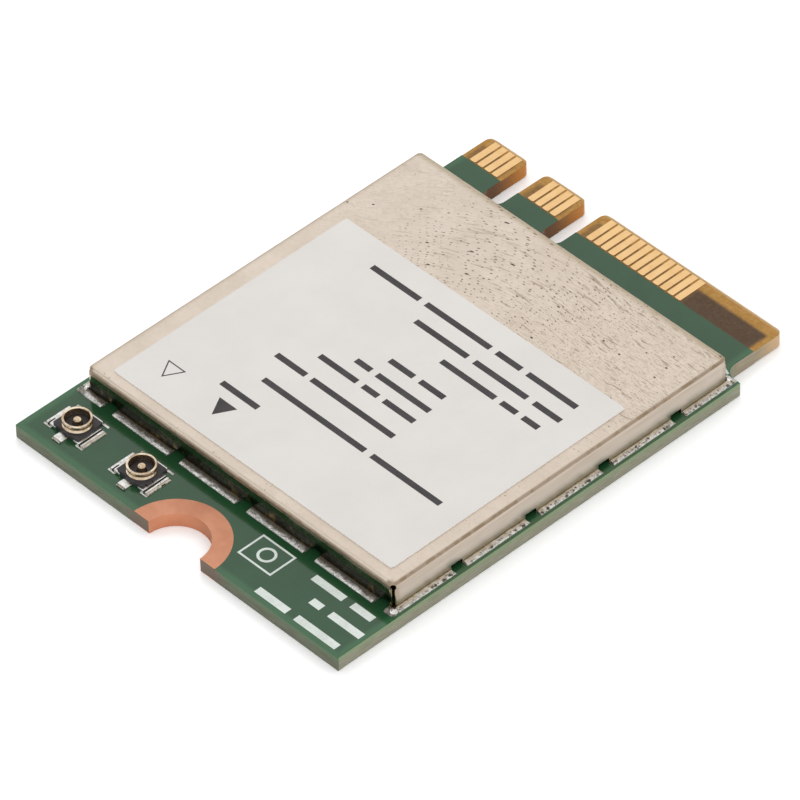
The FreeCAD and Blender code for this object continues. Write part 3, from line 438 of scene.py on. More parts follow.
def can_finish():
    """Nickel-silver sheet: a satin, scratched and pitted lid, polished walls with painted highlight and
    painted shade on the bends, and legs painted with the reflection of the shaded mask.
    """
    pale_low, pale_high = (0.725, 0.628, 0.530), (0.785, 0.688, 0.592)
    warm_low, warm_high = (0.722, 0.622, 0.522), (0.778, 0.676, 0.576)
    grain_brown, hair_brown, line_brown = (0.52, 0.425, 0.325), (0.44, 0.35, 0.26), (0.30, 0.222, 0.150)
    far_brown, left_brown, rust_brown = (0.41, 0.325, 0.200), (0.50, 0.405, 0.300), (0.25, 0.150, 0.078)
    dot_brown, pock_brown = (0.130, 0.092, 0.060), (0.070, 0.050, 0.037)
    wall_dark, wall_pale, foot_painted_light = (0.535, 0.448, 0.368), (0.590, 0.503, 0.422), (0.755, 0.660, 0.575)
    bend_highlight_pale, bend_shade_brown = (0.93, 0.82, 0.69), (0.265, 0.190, 0.115)
    corner_brown, bend_stain_and_shade_brown = (0.32, 0.22, 0.135), (0.33, 0.26, 0.185)
    reflection_foot, reflection_green = (0.080, 0.066, 0.044), (0.019, 0.031, 0.016)
    fleck_amber, side_reflection_olive = (0.40, 0.28, 0.12), (0.235, 0.222, 0.132)

    # Limits in millimetres between one look and the next
    turn_x, far_y, busy_left, busy_right = (-9.0, 6.0), (1.0, 6.0), (-9.0, -4.0), (2.0, 8.5)
    warm_x, hair_x, line_x = (-8.5, 8.5), (-4.0, 6.0), (-8.0, 4.0)
    far_rim, left_rim = (10.15, 10.6), (-10.0, -10.3)
    right_margin, front_margin = (9.35, 10.3), (-10.9, -10.4)
    side_bend, far_bend, corner_x, corner_y = (9.9, 10.15), (10.25, 10.45), (9.95, 10.35), (10.3, 10.75)
    foot_light_z, bend_z, reflection_z, fleck_z = (1.25, 2.0), (1.90, 2.20), (0.98, 1.14), (1.1, 1.4)
    side_leg_z, end_leg_z, can_shift = (1.02, 1.34), (1.40, 1.66), 0.14

    w = Finish("nickel_silver_sheet", Metallic=1.0)
    place = w.place()
    x, y, z = w.axes(place)
    up = w.facing()[2]
    lid = w.step(up, 0.75, 0.97)
    satin_share = w.step(up, 0.02, 0.35)

    # Lid
    flow = w.turned(place, w.step(x, *turn_x, 0.62, 0.0))
    far = w.step(y, *far_y, 0.12, 1.0)
    busy = w.both(w.step(x, *busy_left, 0.2, 1.0), w.step(x, *busy_right, 1.0, 0.35), far)
    busy = w.both(busy, w.step(w.noise(place, 0.4, 2.0), 0.3, 0.55, 0.5, 1.0))
    dots = pits(w, w.stretch(flow, 0.75, 1.0, 1.0), cell=0.19, radius=0.029, share=0.75, wander=0.6)
    pocks = pits(w, w.stretch(flow, 0.7, 1.0, 1.0), cell=0.8, radius=0.045, share=0.30)
    lines = scratches(w, flow, fineness=8.0, length=6.0, sway=0.35, threshold=0.57)
    hairs = scratches(w, flow, fineness=17.0, length=7.0, sway=0.2, threshold=0.5)
    grain = w.noise(place, 5.0, 3.0, 0.6)
    cloud = mottle(w, place, 0.55)
    clouded = w.step(cloud, 0.0, 1.0)
    pale = w.mix(clouded, pale_low, pale_high)
    warm = w.mix(clouded, warm_low, warm_high)
    sheet = w.mix(w.step(x, *warm_x), pale, warm)
    sheet = w.mix(w.step(grain, 0.35, 0.75, 0.0, 0.15), sheet, grain_brown)
    sheet = w.mix(w.both(hairs, far, w.step(x, *hair_x, 0.16, 0.42)), sheet, hair_brown)
    sheet = w.mix(w.both(lines, far, w.step(x, *line_x, 0.22, 0.6)), sheet, line_brown)
    sheet = w.mix(w.step(y, *far_rim, 0.0, 0.7), sheet, far_brown)
    sheet = w.mix(w.step(x, *left_rim, 0.0, 0.6), sheet, left_brown)
    rust = pits(w, place, cell=0.3, radius=0.036, share=0.32)
    margin = w.either(w.within(x, *right_margin, 0.3), w.within(y, *front_margin, 0.1))
    margin = w.both(margin, w.step(w.noise(place, 0.5, 2.0), 0.45, 0.6))
    sheet = w.mix(w.both(rust, margin, 0.75), sheet, rust_brown)
    sheet = w.mix(w.both(dots, busy, 0.85), sheet, dot_brown)
    sheet = w.mix(w.both(pocks, w.step(far, 0.0, 1.0, 0.0, 0.9)), sheet, pock_brown)

    # Walls and bends
    streaks = w.noise(w.stretch(place, 0.35, 0.35, 5.0), 1.3, 3.0)
    wall = w.mix(w.step(streaks, 0.35, 0.65), wall_dark, wall_pale)
    ends = w.step(w.size(w.facing()[1]), 0.25, 0.5)
    # The lower part of the side walls is painted paler as painted light
    foot = w.both(w.step(z, *foot_light_z, 1.0, 0.0), w.other(ends))
    wall = w.mix(foot, wall, foot_painted_light)
    tone = w.mix(lid, wall, sheet)
    # The middle of the front and far bends is painted pale: painted highlight
    bend_highlight = w.both(w.within(up, 0.68, 0.90, 0.07), ends)
    tone = w.mix(w.both(bend_highlight, 0.8), tone, bend_highlight_pale)
    patches = w.step(w.noise(place, 1.4, 4.0, 0.65), 0.40, 0.6)
    sides = w.step(w.size(x), *side_bend)
    rims = w.either(sides, w.step(y, *far_bend, 0.0, 0.7))
    # A patchy brown line along the side and far bends is painted shade
    bend_shade_line = w.both(w.within(up, 0.44, 0.92, 0.08), w.step(patches, 0.0, 1.0, 0.62, 0.9), rims)
    tone = w.mix(bend_shade_line, tone, bend_shade_brown)
    corner = w.both(w.step(w.size(x), *corner_x), w.step(w.size(w.add(y, can_shift)), *corner_y))
    tone = w.mix(w.both(corner, w.step(patches, 0.0, 1.0, 0.25, 0.7)), tone, corner_brown)
    # Brown scallops low on the front and far bends are partly stain and partly painted shade
    scallops = w.step(w.noise(w.stretch(place, 1.0, 1.0, 2.2), 1.1, 4.0, 0.65), 0.38, 0.56)
    bend_stain_and_shade = w.both(w.within(z, *bend_z, 0.05), ends, w.step(scallops, 0.0, 1.0, 0.62, 0.95))
    tone = w.mix(bend_stain_and_shade, tone, bend_stain_and_shade_brown)

    # Legs, painted with the reflection of the shaded mask
    flecks = w.step(w.noise(w.stretch(place, 1.0, 1.0, 0.5), 2.6, 4.0, 0.6), 0.54, 0.66)
    end_reflection = w.mix(w.step(z, *reflection_z), reflection_foot, reflection_green)
    end_reflection = w.mix(w.both(flecks, w.step(z, *fleck_z, 0.8, 0.3)), end_reflection, fleck_amber)
    low = w.blend(ends, w.step(z, *side_leg_z, 1.0, 0.0), w.step(z, *end_leg_z, 1.0, 0.0))
    # The legs are painted with the reflection of the shaded green mask: dark green on the front and far
    # walls, olive on the side walls
    stain_and_reflection = w.both(low, w.other(lid), w.blend(ends, 0.62, 0.98))
    tone = w.mix(stain_and_reflection, tone, w.mix(ends, side_reflection_olive, end_reflection))

    # Gloss and relief
    marks = w.both(w.either(w.both(dots, busy), w.both(pocks, far), w.both(lines, far, 0.4)), lid)
    satin = mottle(w, place, 1.6, 0.38, 0.48)
    polished = mottle(w, place, 1.2, 0.10, 0.18)
    polished = w.blend(ends, w.add(polished, 0.22), polished)
    rough = w.either(w.blend(satin_share, polished, satin), w.both(bend_stain_and_shade, 0.6), w.both(bend_highlight, 0.58))
    rough = w.add(rough, w.both(stain_and_reflection, 0.12))
    wave = w.both(w.noise(place, 0.45, 2.0), 6.0)
    return w.dress(tone, w.either(rough, w.both(marks, 0.6)), w.less(wave, w.both(marks, 3.0)), 4.0)


def paper_finish():
    """Matt label stock with a faint fibre, and cut edges painted pale as a painted highlight."""
    stock_dark, stock_pale = (0.680, 0.655, 0.625), (0.708, 0.686, 0.656)
    fibre_grey, cut_edge_highlight = (0.57, 0.55, 0.525), (0.95, 0.94, 0.92)
    w = Finish("label_stock", IOR=1.45)
    place = w.place()
    cloud = mottle(w, place, 0.35)
    fibre = w.noise(w.stretch(place, 3.0, 3.0, 1.0), 3.0, 4.0, 0.6)
    tone = w.mix(w.step(cloud, 0.0, 1.0), stock_dark, stock_pale)
    tone = w.mix(w.step(fibre, 0.6, 0.8, 0.0, 0.06), tone, fibre_grey)
    # Cut edges are painted near white: painted highlight
    cut = w.step(w.facing()[2], 0.3, 0.8, 1.0, 0.0)
    tone = w.mix(cut, tone, cut_edge_highlight)
    return w.dress(tone, w.step(fibre, 0.3, 0.7, 0.5, 0.62), w.add(fibre, w.both(cloud, 2.0)), 4.0)


def matt_finish(name, colour, second, roughness, scale, microns, index=1.5):
    """Moulding, ceramic or ink: two close tones in a fine grain."""
    w = Finish(name, IOR=index)
    place = w.place()
    grain = w.noise(place, scale, 4.0, 0.65)
    cloud = mottle(w, place, scale * 0.1)
    mixed = w.add(w.both(grain, 0.6), w.both(cloud, 0.4))
    tone = w.mix(w.step(mixed, 0.3, 0.7), colour, second)
    return w.dress(tone, w.step(grain, 0.3, 0.7, roughness * 0.9, roughness * 1.12), grain, microns)


BOARD, LAMINATE = board_finish("masked_laminate", 1.56), board_finish("bare_laminate", 1.3)
CAN = can_finish()
PAPER = paper_finish()
SOLDER = solder_finish()
TIN = metal_finish("tinned_land", (0.78, 0.77, 0.74), (0.48, 0.46, 0.42), 0.28, 3.5)
TAB = metal_finish("tinned_tab", (0.92, 0.91, 0.88), (0.58, 0.56, 0.53), 0.2, 4.0, spot_share=0.3)
BEAD = metal_finish("bright_bead", (0.97, 0.95, 0.92), (0.62, 0.59, 0.55), 0.22, 3.0)
# The notch walls of the plating are painted shade, darker towards +x
COPPER = metal_finish("bare_copper", (0.735, 0.355, 0.222), (0.690, 0.328, 0.204), 0.5, 0.9, 0.4, 0.15,
                      wall=((0.66, 0.300, 0.172), (0.40, 0.175, 0.098)))
CONTACT = metal_finish("contact_gold", (0.92, 0.615, 0.30), (0.86, 0.555, 0.26), 0.3, 1.5, math.pi / 2, 0.2)
JACK_GOLD = jack_finish()
MOULDING = matt_finish("black_moulding", (0.036, 0.032, 0.035), (0.056, 0.050, 0.054), 0.45, 9.0, 6.0, 1.36)
# Near-black slabs in the gaps of the jack tabs stand in for the shadow there: painted shadow
TAB_SHADOW = matt_finish("painted_tab_shadow", (0.006, 0.005, 0.004), (0.016, 0.013, 0.010), 0.5, 9.0, 4.0, 1.3)
PACKAGE = matt_finish("package_moulding", (0.016, 0.016, 0.017), (0.030, 0.030, 0.031), 0.55, 6.0, 6.0)
CERAMIC = matt_finish("white_ceramic", (0.68, 0.68, 0.64), (0.78, 0.78, 0.75), 0.5, 8.0, 3.0)
FERRITE = matt_finish("grey_ferrite", (0.030, 0.030, 0.033), (0.055, 0.055, 0.058), 0.6, 8.0, 6.0)
BROWN_CERAMIC = matt_finish("brown_ceramic", (0.26, 0.15, 0.08), (0.34, 0.21, 0.12), 0.45, 8.0, 3.0)
GLAZE = matt_finish("black_glaze", (0.010, 0.010, 0.010), (0.022, 0.022, 0.022), 0.3, 8.0, 2.0)
CRYSTAL = metal_finish("crystal_lid", (0.66, 0.62, 0.54), (0.50, 0.46, 0.39), 0.35, 2.0)
LABEL_INK = matt_finish("label_ink", (0.028, 0.024, 0.025), (0.046, 0.040, 0.041), 0.55, 9.0, 1.0)
SILK_INK = matt_finish("silkscreen_ink", (0.60, 0.66, 0.61), (0.72, 0.77, 0.73), 0.5, 9.0, 2.0)


# Pieces

CORNER_SHARE, RIM_INSET, RIM_DROP, NEAR_ZERO = 0.45, 0.35, 0.25, 1e-6


def seat(piece, slot, *replaced):
    """Fix a finished piece to the card and hide the solids that it replaces; the slot is not used."""
    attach(piece, "root")
    if replaced:
        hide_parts(*replaced)


def show(mesh, name, *materials):
    """An object at the origin for a mesh, with its materials."""
    piece = bpy.data.objects.new(name, mesh)
    scene.collection.objects.link(piece)
    for material in materials:
        mesh.materials.append(material)
    return piece


def made_plain(piece):
    """Turn a piece with modifiers into a plain mesh."""
    graph = bpy.context.evaluated_depsgraph_get()
    mesh = bpy.data.meshes.new_from_object(piece.evaluated_get(graph))
    piece.modifiers.clear()
    piece.data = mesh
    return piece


def shaded(shape, name, angle):
    """A mesh for a finished shape, smooth but for its sharp edges."""
    mesh = bpy.data.meshes.new(name)
    shape.to_mesh(mesh)
    shape.free()
    mesh.shade_smooth()
    mesh.set_sharp_from_angle(angle=angle)
    return mesh


def eased_copy(node, name, material, ease, smooth=SHARP_ANGLE):
    """A merged copy of a solid whose sharp edges are eased and whose curves are shaded smooth."""
    shape = bmesh.new()
    shape.from_mesh(nodes[node].data)
    bmesh.ops.remove_doubles(shape, verts=shape.verts, dist=MERGE_DISTANCE)
    bmesh.ops.dissolve_limit(shape, angle_limit=FLAT_ANGLE, verts=shape.verts, edges=shape.edges)
    piece = show(shaded(shape, name, smooth), name, material)
    if ease:
        bevel = piece.modifiers.new("ease", "BEVEL")
        bevel.width = ease * MM
        bevel.segments = 2
        bevel.limit_method = "ANGLE"
        bevel.angle_limit = smooth
        bevel.harden_normals = True
        bevel.use_clamp_overlap = True
    weighted = piece.modifiers.new("flat_faces", "WEIGHTED_NORMAL")
    weighted.keep_sharp = True
    return made_plain(piece)


def reround(piece, corners, reach, factor):
    """Make the rounding at some upright corners larger or smaller."""
    for vertex in piece.data.vertices:
        for corner in corners:
            away = vertex.co.to_2d() - Vector(corner) * MM
            if max(abs(away.x), abs(away.y)) < reach * MM:
                vertex.co.xy = Vector(corner) * MM + away * factor
                break


def spun(shape, profile, centre, steps=96):
    """Turn a closed profile of radius and height pairs about an upright axis."""
    rings = []
    for step in range(steps):
        angle = 2 * math.pi * step / steps
        ring = []
        for r, z in profile:
            x, y = centre[0] + r * math.cos(angle), centre[1] + r * math.sin(angle)
            ring.append(shape.verts.new((x * MM, y * MM, z * MM)))
        rings.append(ring)
    count = len(profile)
    for step in range(steps):
        here, there = rings[step], rings[(step + 1) % steps]
        for i in range(count):
            j = (i + 1) % count
            shape.faces.new((here[i], there[i], there[j], here[j]))


def rounded(points, radius, steps=5):
    """Round the corners of a closed outline."""
    outline = []
    count = len(points)
    for i in range(count):
        before, corner, after = (Vector(points[k % count]) for k in (i - 1, i, i + 1))
        first, second = (before - corner), (after - corner)
        cut = min(radius, CORNER_SHARE * first.length, CORNER_SHARE * second.length)
        start, end = corner + first.normalized() * cut, corner + second.normalized() * cut
        for k in range(steps + 1):
            t = k / steps
            outline.append(tuple(start * (1 - t) ** 2 + corner * 2 * t * (1 - t) + end * t ** 2))
    return outline


def slab(shape, outline, low, high, lift=0.0, finish=0):
    """Raise a plan outline into a closed slab of one finish; lift rounds its upper rim."""
    middle = Vector((sum(p[0] for p in outline) / len(outline), sum(p[1] for p in outline) / len(outline)))
    levels = [(0.0, low), (0.0, high - lift), (RIM_INSET * lift, high - RIM_DROP * lift), (lift, high)]
    if not lift:
        levels = [(0.0, low), (0.0, high)]
    loops = []
    for inset, z in levels:
        loop = []
        for point in outline:
            away = Vector(point) - middle
            spot = middle + away * (1 - inset / max(away.length, inset + NEAR_ZERO))
            loop.append(shape.verts.new((spot.x * MM, spot.y * MM, z * MM)))
        loops.append(loop)
    count = len(outline)
    faces = [shape.faces.new(list(reversed(loops[0]))), shape.faces.new(loops[-1])]
    for lower, upper in zip(loops, loops[1:]):
        for i in range(count):
            j = (i + 1) % count
            faces.append(shape.faces.new((lower[i], lower[j], upper[j], upper[i])))
    for face in faces:
        face.material_index = finish


def settled(shape, name, *materials):
    """Close a shape, face it outwards and make it an object."""
    bmesh.ops.recalc_face_normals(shape, faces=shape.faces)
    return show(shaded(shape, name, SHARP_ANGLE), name, *materials)


def box_outline(x0, y0, x1, y1):
    """The corners of a rectangle in plan."""
    return [(x0, y0), (x1, y0), (x1, y1), (x0, y1)]


# Paths drawn in Geometry Nodes

# Section of a solder run as shares of its reach and rise, and its lumps
SHOULDER_OUT, SHOULDER_UP, PROFILE_POINTS = 0.86, 0.36, 18
FINE_LUMPS, BROAD_LUMPS, FINE_SHARE, BROAD_SHARE, LUMP_MIDDLE = 4200.0, 1300.0, 0.6, 0.8, 0.72
FOOT_FADE = 0.00004


def point(w, x, y):
    """A point of a profile."""
    return w.node("ShaderNodeCombineXYZ", x, y, 0.0).outputs[0]


def close_tree(w, geometry, material, out, smooth):
    """End a tree with realized, shaded geometry in its material."""
    real = w.node("GeometryNodeRealizeInstances", geometry).outputs[0]
    shaded = w.named("GeometryNodeSetShadeSmooth", {"Geometry": real, "Shade Smooth": smooth}).outputs[0]
    dressed = w.named("GeometryNodeSetMaterial", {"Geometry": shaded, "Material": material}).outputs[0]
    w.feed(out, dressed)


def swept(w, curve, profile):
    """A closed mesh of a profile that stays upright along a curve."""
    level = w.node("GeometryNodeSetCurveNormal", curve, mode="Z_UP").outputs[0]
    inputs = {"Curve": level, "Profile Curve": profile, "Fill Caps": True}
    return w.named("GeometryNodeCurveToMesh", inputs).outputs[0]


def stroke_tree():
    """Flat printed strokes of one width along their paths."""
    tree, w, given, out = new_tree("GeometryNodeTree", "printed_strokes", GEOMETRY,
                                   Paths=GEOMETRY, Width=FLOAT, Film=FLOAT, Material=MATERIAL)
    curve = w.node("GeometryNodeMeshToCurve", given["Paths"]).outputs[0]
    profile = w.node("GeometryNodeCurvePrimitiveQuadrilateral", given["Width"], given["Film"]).outputs[0]
    close_tree(w, swept(w, curve, profile), given["Material"], out, False)
    return tree


def solder_tree():
    """Lumpy solder fillets that run along the foot of a wall, to the right of each path."""
    tree, w, given, out = new_tree("GeometryNodeTree", "solder_runs", GEOMETRY, Paths=GEOMETRY, Reach=FLOAT,
                                   Rise=FLOAT, Lump=FLOAT, Step=FLOAT, Foot=FLOAT, Material=MATERIAL)
    curve = w.node("GeometryNodeMeshToCurve", given["Paths"]).outputs[0]
    steps = {"Curve": curve, "Length": given["Step"]}
    fine = w.named("GeometryNodeResampleCurve", steps, mode="LENGTH").outputs[0]
    reach, rise = w.both(given["Reach"], -1.0), w.both(given["Rise"], -1.0)
    shoulder = point(w, w.both(given["Reach"], -SHOULDER_OUT), w.both(given["Rise"], -SHOULDER_UP))
    corners = {"Point 1": point(w, 0.0, 0.0), "Point 2": point(w, reach, 0.0), "Point 3": shoulder,
               "Point 4": point(w, 0.0, rise)}
    profile = w.named("GeometryNodeCurvePrimitiveQuadrilateral", corners, mode="POINTS").outputs[0]
    dense = w.named("GeometryNodeResampleCurve", {"Curve": profile, "Count": PROFILE_POINTS}, mode="COUNT")
    drawn = swept(w, fine, dense.outputs[0])
    where = w.node("GeometryNodeInputPosition").outputs[0]
    fine_lumps, broad_lumps = w.noise(where, FINE_LUMPS, 2.0), w.noise(where, BROAD_LUMPS, 2.0)
    raised = w.step(w.less(w.axes(where)[2], given["Foot"]), 0.0, FOOT_FADE)
    swell = w.add(w.both(fine_lumps, FINE_SHARE), w.both(broad_lumps, BROAD_SHARE))
    swell = w.both(w.less(swell, LUMP_MIDDLE), given["Lump"], raised)
    shove = w.scaled(w.node("GeometryNodeInputNormal").outputs[0], swell)
    moved = w.named("GeometryNodeSetPosition", {"Geometry": drawn, "Offset": shove}).outputs[0]
    close_tree(w, moved, given["Material"], out, True)
    return tree


STROKES, SOLDER_RUNS = stroke_tree(), solder_tree()


def along_paths(name, tree, paths, z, **values):
    """Run a tree over paths at one height, each a list of plan points and whether it closes."""
    verts, edges = [], []
    for points, closed in paths:
        first = len(verts)
        verts += [(px * MM, py * MM, z * MM) for px, py in points]
        edges += [(first + i, first + i + 1) for i in range(len(points) - 1)]
        if closed:
            edges.append((len(verts) - 1, first))
    mesh = bpy.data.meshes.new(name)
    mesh.from_pydata(verts, edges, [])
    piece = show(mesh, name)
    modifier = piece.modifiers.new(name, "NODES")
    modifier.node_group = tree
    for item in tree.interface.items_tree:
        if item.in_out == "INPUT" and item.name in values:
            modifier[item.identifier] = values[item.name]
    return made_plain(piece)


def solder_runs(name, runs, foot, reach, rise, lump, step):
    """Solder along paths that lie at one height."""
    return along_paths(name, SOLDER_RUNS, runs, foot, Reach=reach * MM, Rise=rise * MM, Lump=lump * MM,
                       Step=step * MM, Foot=foot * MM, Material=SOLDER)


def printed(name, paths, z, width, ink, slot):
    """Seat strokes of ink of one width along paths."""
    strokes = along_paths(name, STROKES, paths, z, Width=width * MM, Film=INK_FILM * MM, Material=ink)
    seat(strokes, slot)


# Board, plating and contacts

BOARD_EASE, RING_EASE, FINGER_EASE, BASE_EASE, LABEL_EASE = 0.02, 0.012, 0.008, 0.015, 0.02
FINGER_PITCH, FINGER_SPREAD, FINGER_FOOT, FINGER_CUT, FINGER_FLAT = 0.5, 1.1, 13.05, 0.12, 0.35
TIP_Y, TIP_ROUND, TIP_GROWTH = 15.0, 0.252, 1.8
board = eased_copy("circuit_board", "board_laminate", BOARD, BOARD_EASE)
tips = [-TONGUE_HALF, TONGUE_HALF] + [key_x + side * KEY_HALF for key_x in KEY_XS for side in (-1, 1)]
reround(board, [(tip_x, TIP_Y) for tip_x in tips], TIP_ROUND, TIP_GROWTH)
board.data.materials.append(LAMINATE)
for face in board.data.polygons:
    face.material_index = int(face.center.y > BARE_Y * MM)
seat(board, "solder_mask", "circuit_board")
plating = eased_copy("mounting_ring", "screw_notch_plating", COPPER, RING_EASE)
seat(plating, "copper", "mounting_ring")
fingers = eased_copy("edge_contacts_top", "upper_contacts", CONTACT, FINGER_EASE)
for vertex in fingers.data.vertices:
    middle = (math.floor(vertex.co.x / (FINGER_PITCH * MM)) + 0.5) * FINGER_PITCH * MM
    vertex.co.x = middle + (vertex.co.x - middle) * FINGER_SPREAD
    above = vertex.co.y - FINGER_FOOT * MM
    if above < FINGER_CUT * MM:
        vertex.co.y -= above * (1 - FINGER_FLAT)
seat(fingers, "contact_gold", "edge_contacts_top")
lower_fingers = eased_copy("edge_contacts_bottom", "lower_contacts", CONTACT, FINGER_EASE)
seat(lower_fingers, "contact_gold", "edge_contacts_bottom")


# Shield can with its solder

GAP_TOP, GAP_DROP, SAME_HEIGHT = 1.33, 0.24, 0.002
CAN_SHARP_ANGLE = math.radians(40)
can = eased_copy("shield_can", "folded_can", CAN, 0.0, CAN_SHARP_ANGLE)
for vertex in can.data.vertices:
    if abs(vertex.co.z - GAP_TOP * MM) < SAME_HEIGHT * MM:
        vertex.co.z -= GAP_DROP * MM
seat(can, "can_sheet", "shield_can")


FRONT_REACH, SIDE_REACH, FAR_REACH, SOLDER_INSET = 0.44, 0.37, 0.22, 0.05
SOLDER_RISE, SOLDER_LUMP, SOLDER_STEP = 0.125, 0.09, 0.05


def spans(low, high, gaps):
    """The stretches of solder along a wall, which stop a little short of its gaps."""
    marks = [low] + [g + s for g in gaps for s in (-GAP_HALF, GAP_HALF)] + [high]
    return [(start + SOLDER_INSET, end - SOLDER_INSET) for start, end in zip(marks[::2], marks[1::2])]


front_runs, side_runs, far_runs = [], [], []
for start, end in spans(CAN_LEFT - SIDE_REACH, CAN_RIGHT + SIDE_REACH, FRONT_GAPS):
    front_runs.append(([(end, CAN_FRONT), (start, CAN_FRONT)], False))
    far_runs.append(([(start, CAN_FAR), (end, CAN_FAR)], False))
for start, end in spans(CAN_FRONT, CAN_FAR, SIDE_GAPS):
    side_runs.append(([(CAN_LEFT, start), (CAN_LEFT, end)], False))
    side_runs.append(([(CAN_RIGHT, end), (CAN_RIGHT, start)], False))
for wall, runs, reach in (("front", front_runs, FRONT_REACH), ("sides", side_runs, SIDE_REACH),
                          ("far", far_runs, FAR_REACH)):
    fillets = solder_runs(f"can_solder_{wall}", runs, MASK_TOP, reach, SOLDER_RISE, SOLDER_LUMP, SOLDER_STEP)
    seat(fillets, "tin", "shield_solder")


BEAD_UNEVEN, BEAD_LUMPS = 0.22, 1.7
CORNER_BEADS = [(10.64, -11.10, 0.21, 0.19), (-10.42, -11.0, 0.17, 0.11), (10.52, 10.70, 0.15, 0.10),
                (-10.42, 10.70, 0.16, 0.10)]


def solder_beads(name, places):
    """Flattened, uneven drops of solder that sit on the lands."""
    shape = bmesh.new()
    for x, y, width, height in places:
        made = bmesh.ops.create_icosphere(shape, subdivisions=3, radius=1.0)
        for vertex in made["verts"]:
            uneven = 1.0 + BEAD_UNEVEN * noise.noise(vertex.co * BEAD_LUMPS + Vector((x, y, 0.0)))
            spot = vertex.co * uneven
            vertex.co = ((x + spot.x * width) * MM, (y + spot.y * width) * MM,
                         (LAND_TOP + max(spot.z, 0.0) * height) * MM)
        bmesh.ops.dissolve_degenerate(shape, dist=TINY_DISTANCE, edges=shape.edges)
    return settled(shape, name, BEAD)


seat(solder_beads("corner_beads", CORNER_BEADS), "tin", "shield_solder")


# Antenna jacks

PROFILE_ROUND, PIN_STEPS = 0.045, 48
RING_PROFILE = rounded([(0.62, 0.97), (0.775, 0.97), (0.775, 1.09), (0.685, 1.19), (0.675, 1.26),
                        (0.745, 1.30), (0.745, 1.45), (0.62, 1.45)], PROFILE_ROUND, 4)
PIN_PROFILE = [(0.0, 0.84), (0.235, 0.84), (0.235, 0.98), (0.22, 1.0), (0.22, 1.25), (0.21, 1.295),
               (0.182, 1.332), (0.138, 1.356), (0.077, 1.365), (0.0, 1.365)]

# Plates of a jack, measured from its centre; the last number of a row is the finish
TAB_TOP, LIP_TOP, FILL_TOP = LAND_TOP + 0.14, LAND_TOP + 0.12, LAND_TOP + 0.115
GROOVE_TOP = TAIL_TOP = LAND_TOP + 0.07
TAB_NEAR, TAB_FAR, CROSS_HALF = -0.87, 0.60, 0.70
# Rows of finish 2 are near-black slabs of painted shadow in the gaps between tabs and lips
SIDE_TAB = [(0.62, 1.03, TAB_TOP, 1), (1.12, 1.245, LIP_TOP, 1), (0.98, 1.16, GROOVE_TOP, 2)]
CROSS_TAB = [(0.62, 0.85, TAB_TOP, 1), (0.92, 0.98, LIP_TOP, 1), (0.82, 0.95, GROOVE_TOP, 2)]
GROOVE_FILL = (-1.16, -0.45, -0.98, 0.58)
PIN_TAIL = (-0.28, -1.31, 0.28, -0.20)
PADS = [(-1.345, -0.97, -0.86, 0.64), (0.86, -0.97, 1.345, 0.64), (-1.12, 0.90, 1.12, 1.03),
        (-0.25, -1.35, 0.25, -0.825)]
TAB_LIFT, TAIL_LIFT, PAD_LIFT = 0.02, 0.015, 0.01
PLATE_CORNER, TAIL_CORNER = 0.05, 0.04

# Solder round the plates
JACK_FILLETS = [((-1.245, -0.85), (-1.245, 0.58)), ((1.245, 0.58), (1.245, -0.85)),
                ((-0.70, 0.98), (0.70, 0.98)), ((0.26, -1.31), (-0.26, -1.31))]
FILLET_REACH, FILLET_RISE, FILLET_LUMP, FILLET_STEP = 0.1, 0.1, 0.04, 0.03


def plate(shape, x, box, low, high, lift, finish=0, corner=PLATE_CORNER):
    """A flat plate with rounded corners, in a box measured from the centre of a jack."""
    x0, y0, x1, y1 = box
    outline = box_outline(x + x0, JACK_Y + y0, x + x1, JACK_Y + y1)
    slab(shape, rounded(outline, corner, 3), low, high, lift, finish)


def jack_shell(name, x):
    """Grooved ring on the plate that ends in the ground tabs, with near-black slabs of painted shadow in the
    gaps of the tabs.
    """
    shape = bmesh.new()
    spun(shape, RING_PROFILE, (x, JACK_Y))
    for side in (-1, 1):
        for inner, outer, top, finish in SIDE_TAB:
            x0, x1 = sorted((side * inner, side * outer))
            plate(shape, x, (x0, TAB_NEAR, x1, TAB_FAR), LAND_TOP, top, TAB_LIFT, finish)
    plate(shape, x, GROOVE_FILL, LAND_TOP, FILL_TOP, TAB_LIFT, 1)
    for inner, outer, top, finish in CROSS_TAB:
        plate(shape, x, (-CROSS_HALF, inner, CROSS_HALF, outer), LAND_TOP, top, TAB_LIFT, finish)
    return settled(shape, name, JACK_GOLD, TAB, TAB_SHADOW)


def jack_pin(name, x):
    """Domed centre pin, and the tail that runs out to the signal land."""
    shape = bmesh.new()
    spun(shape, PIN_PROFILE, (x, JACK_Y), PIN_STEPS)
    bmesh.ops.remove_doubles(shape, verts=shape.verts, dist=TINY_DISTANCE)
    plate(shape, x, PIN_TAIL, MASK_TOP, TAIL_TOP, TAIL_LIFT, 1, TAIL_CORNER)
    return settled(shape, name, JACK_GOLD, TAB)


jack_runs, pads = [], bmesh.new()
for letter, x in zip("ab", JACK_XS):
    seat(jack_shell(f"jack_{letter}_ring", x), "jack_gold", f"antenna_jack_{letter}_shell")
    seat(jack_pin(f"jack_{letter}_centre", x), "jack_gold", f"antenna_jack_{letter}_pin")
    base = eased_copy(f"antenna_jack_{letter}_housing", f"jack_{letter}_base", MOULDING, BASE_EASE)
    seat(base, "jack_base", f"antenna_jack_{letter}_housing")
    for box in PADS:
        plate(pads, x, box, MASK_TOP, LAND_TOP, PAD_LIFT)
    for fillet in JACK_FILLETS:
        jack_runs.append(([(x + along, JACK_Y + up) for along, up in fillet], False))
beads = solder_runs("jack_beads", jack_runs, LAND_TOP, FILLET_REACH, FILLET_RISE, FILLET_LUMP, FILLET_STEP)
seat(beads, "tin", "jack_solder")
seat(settled(pads, "jack_pads", TIN), "tin", "jack_lands")


# Label with plain printed marks, and marks on the board

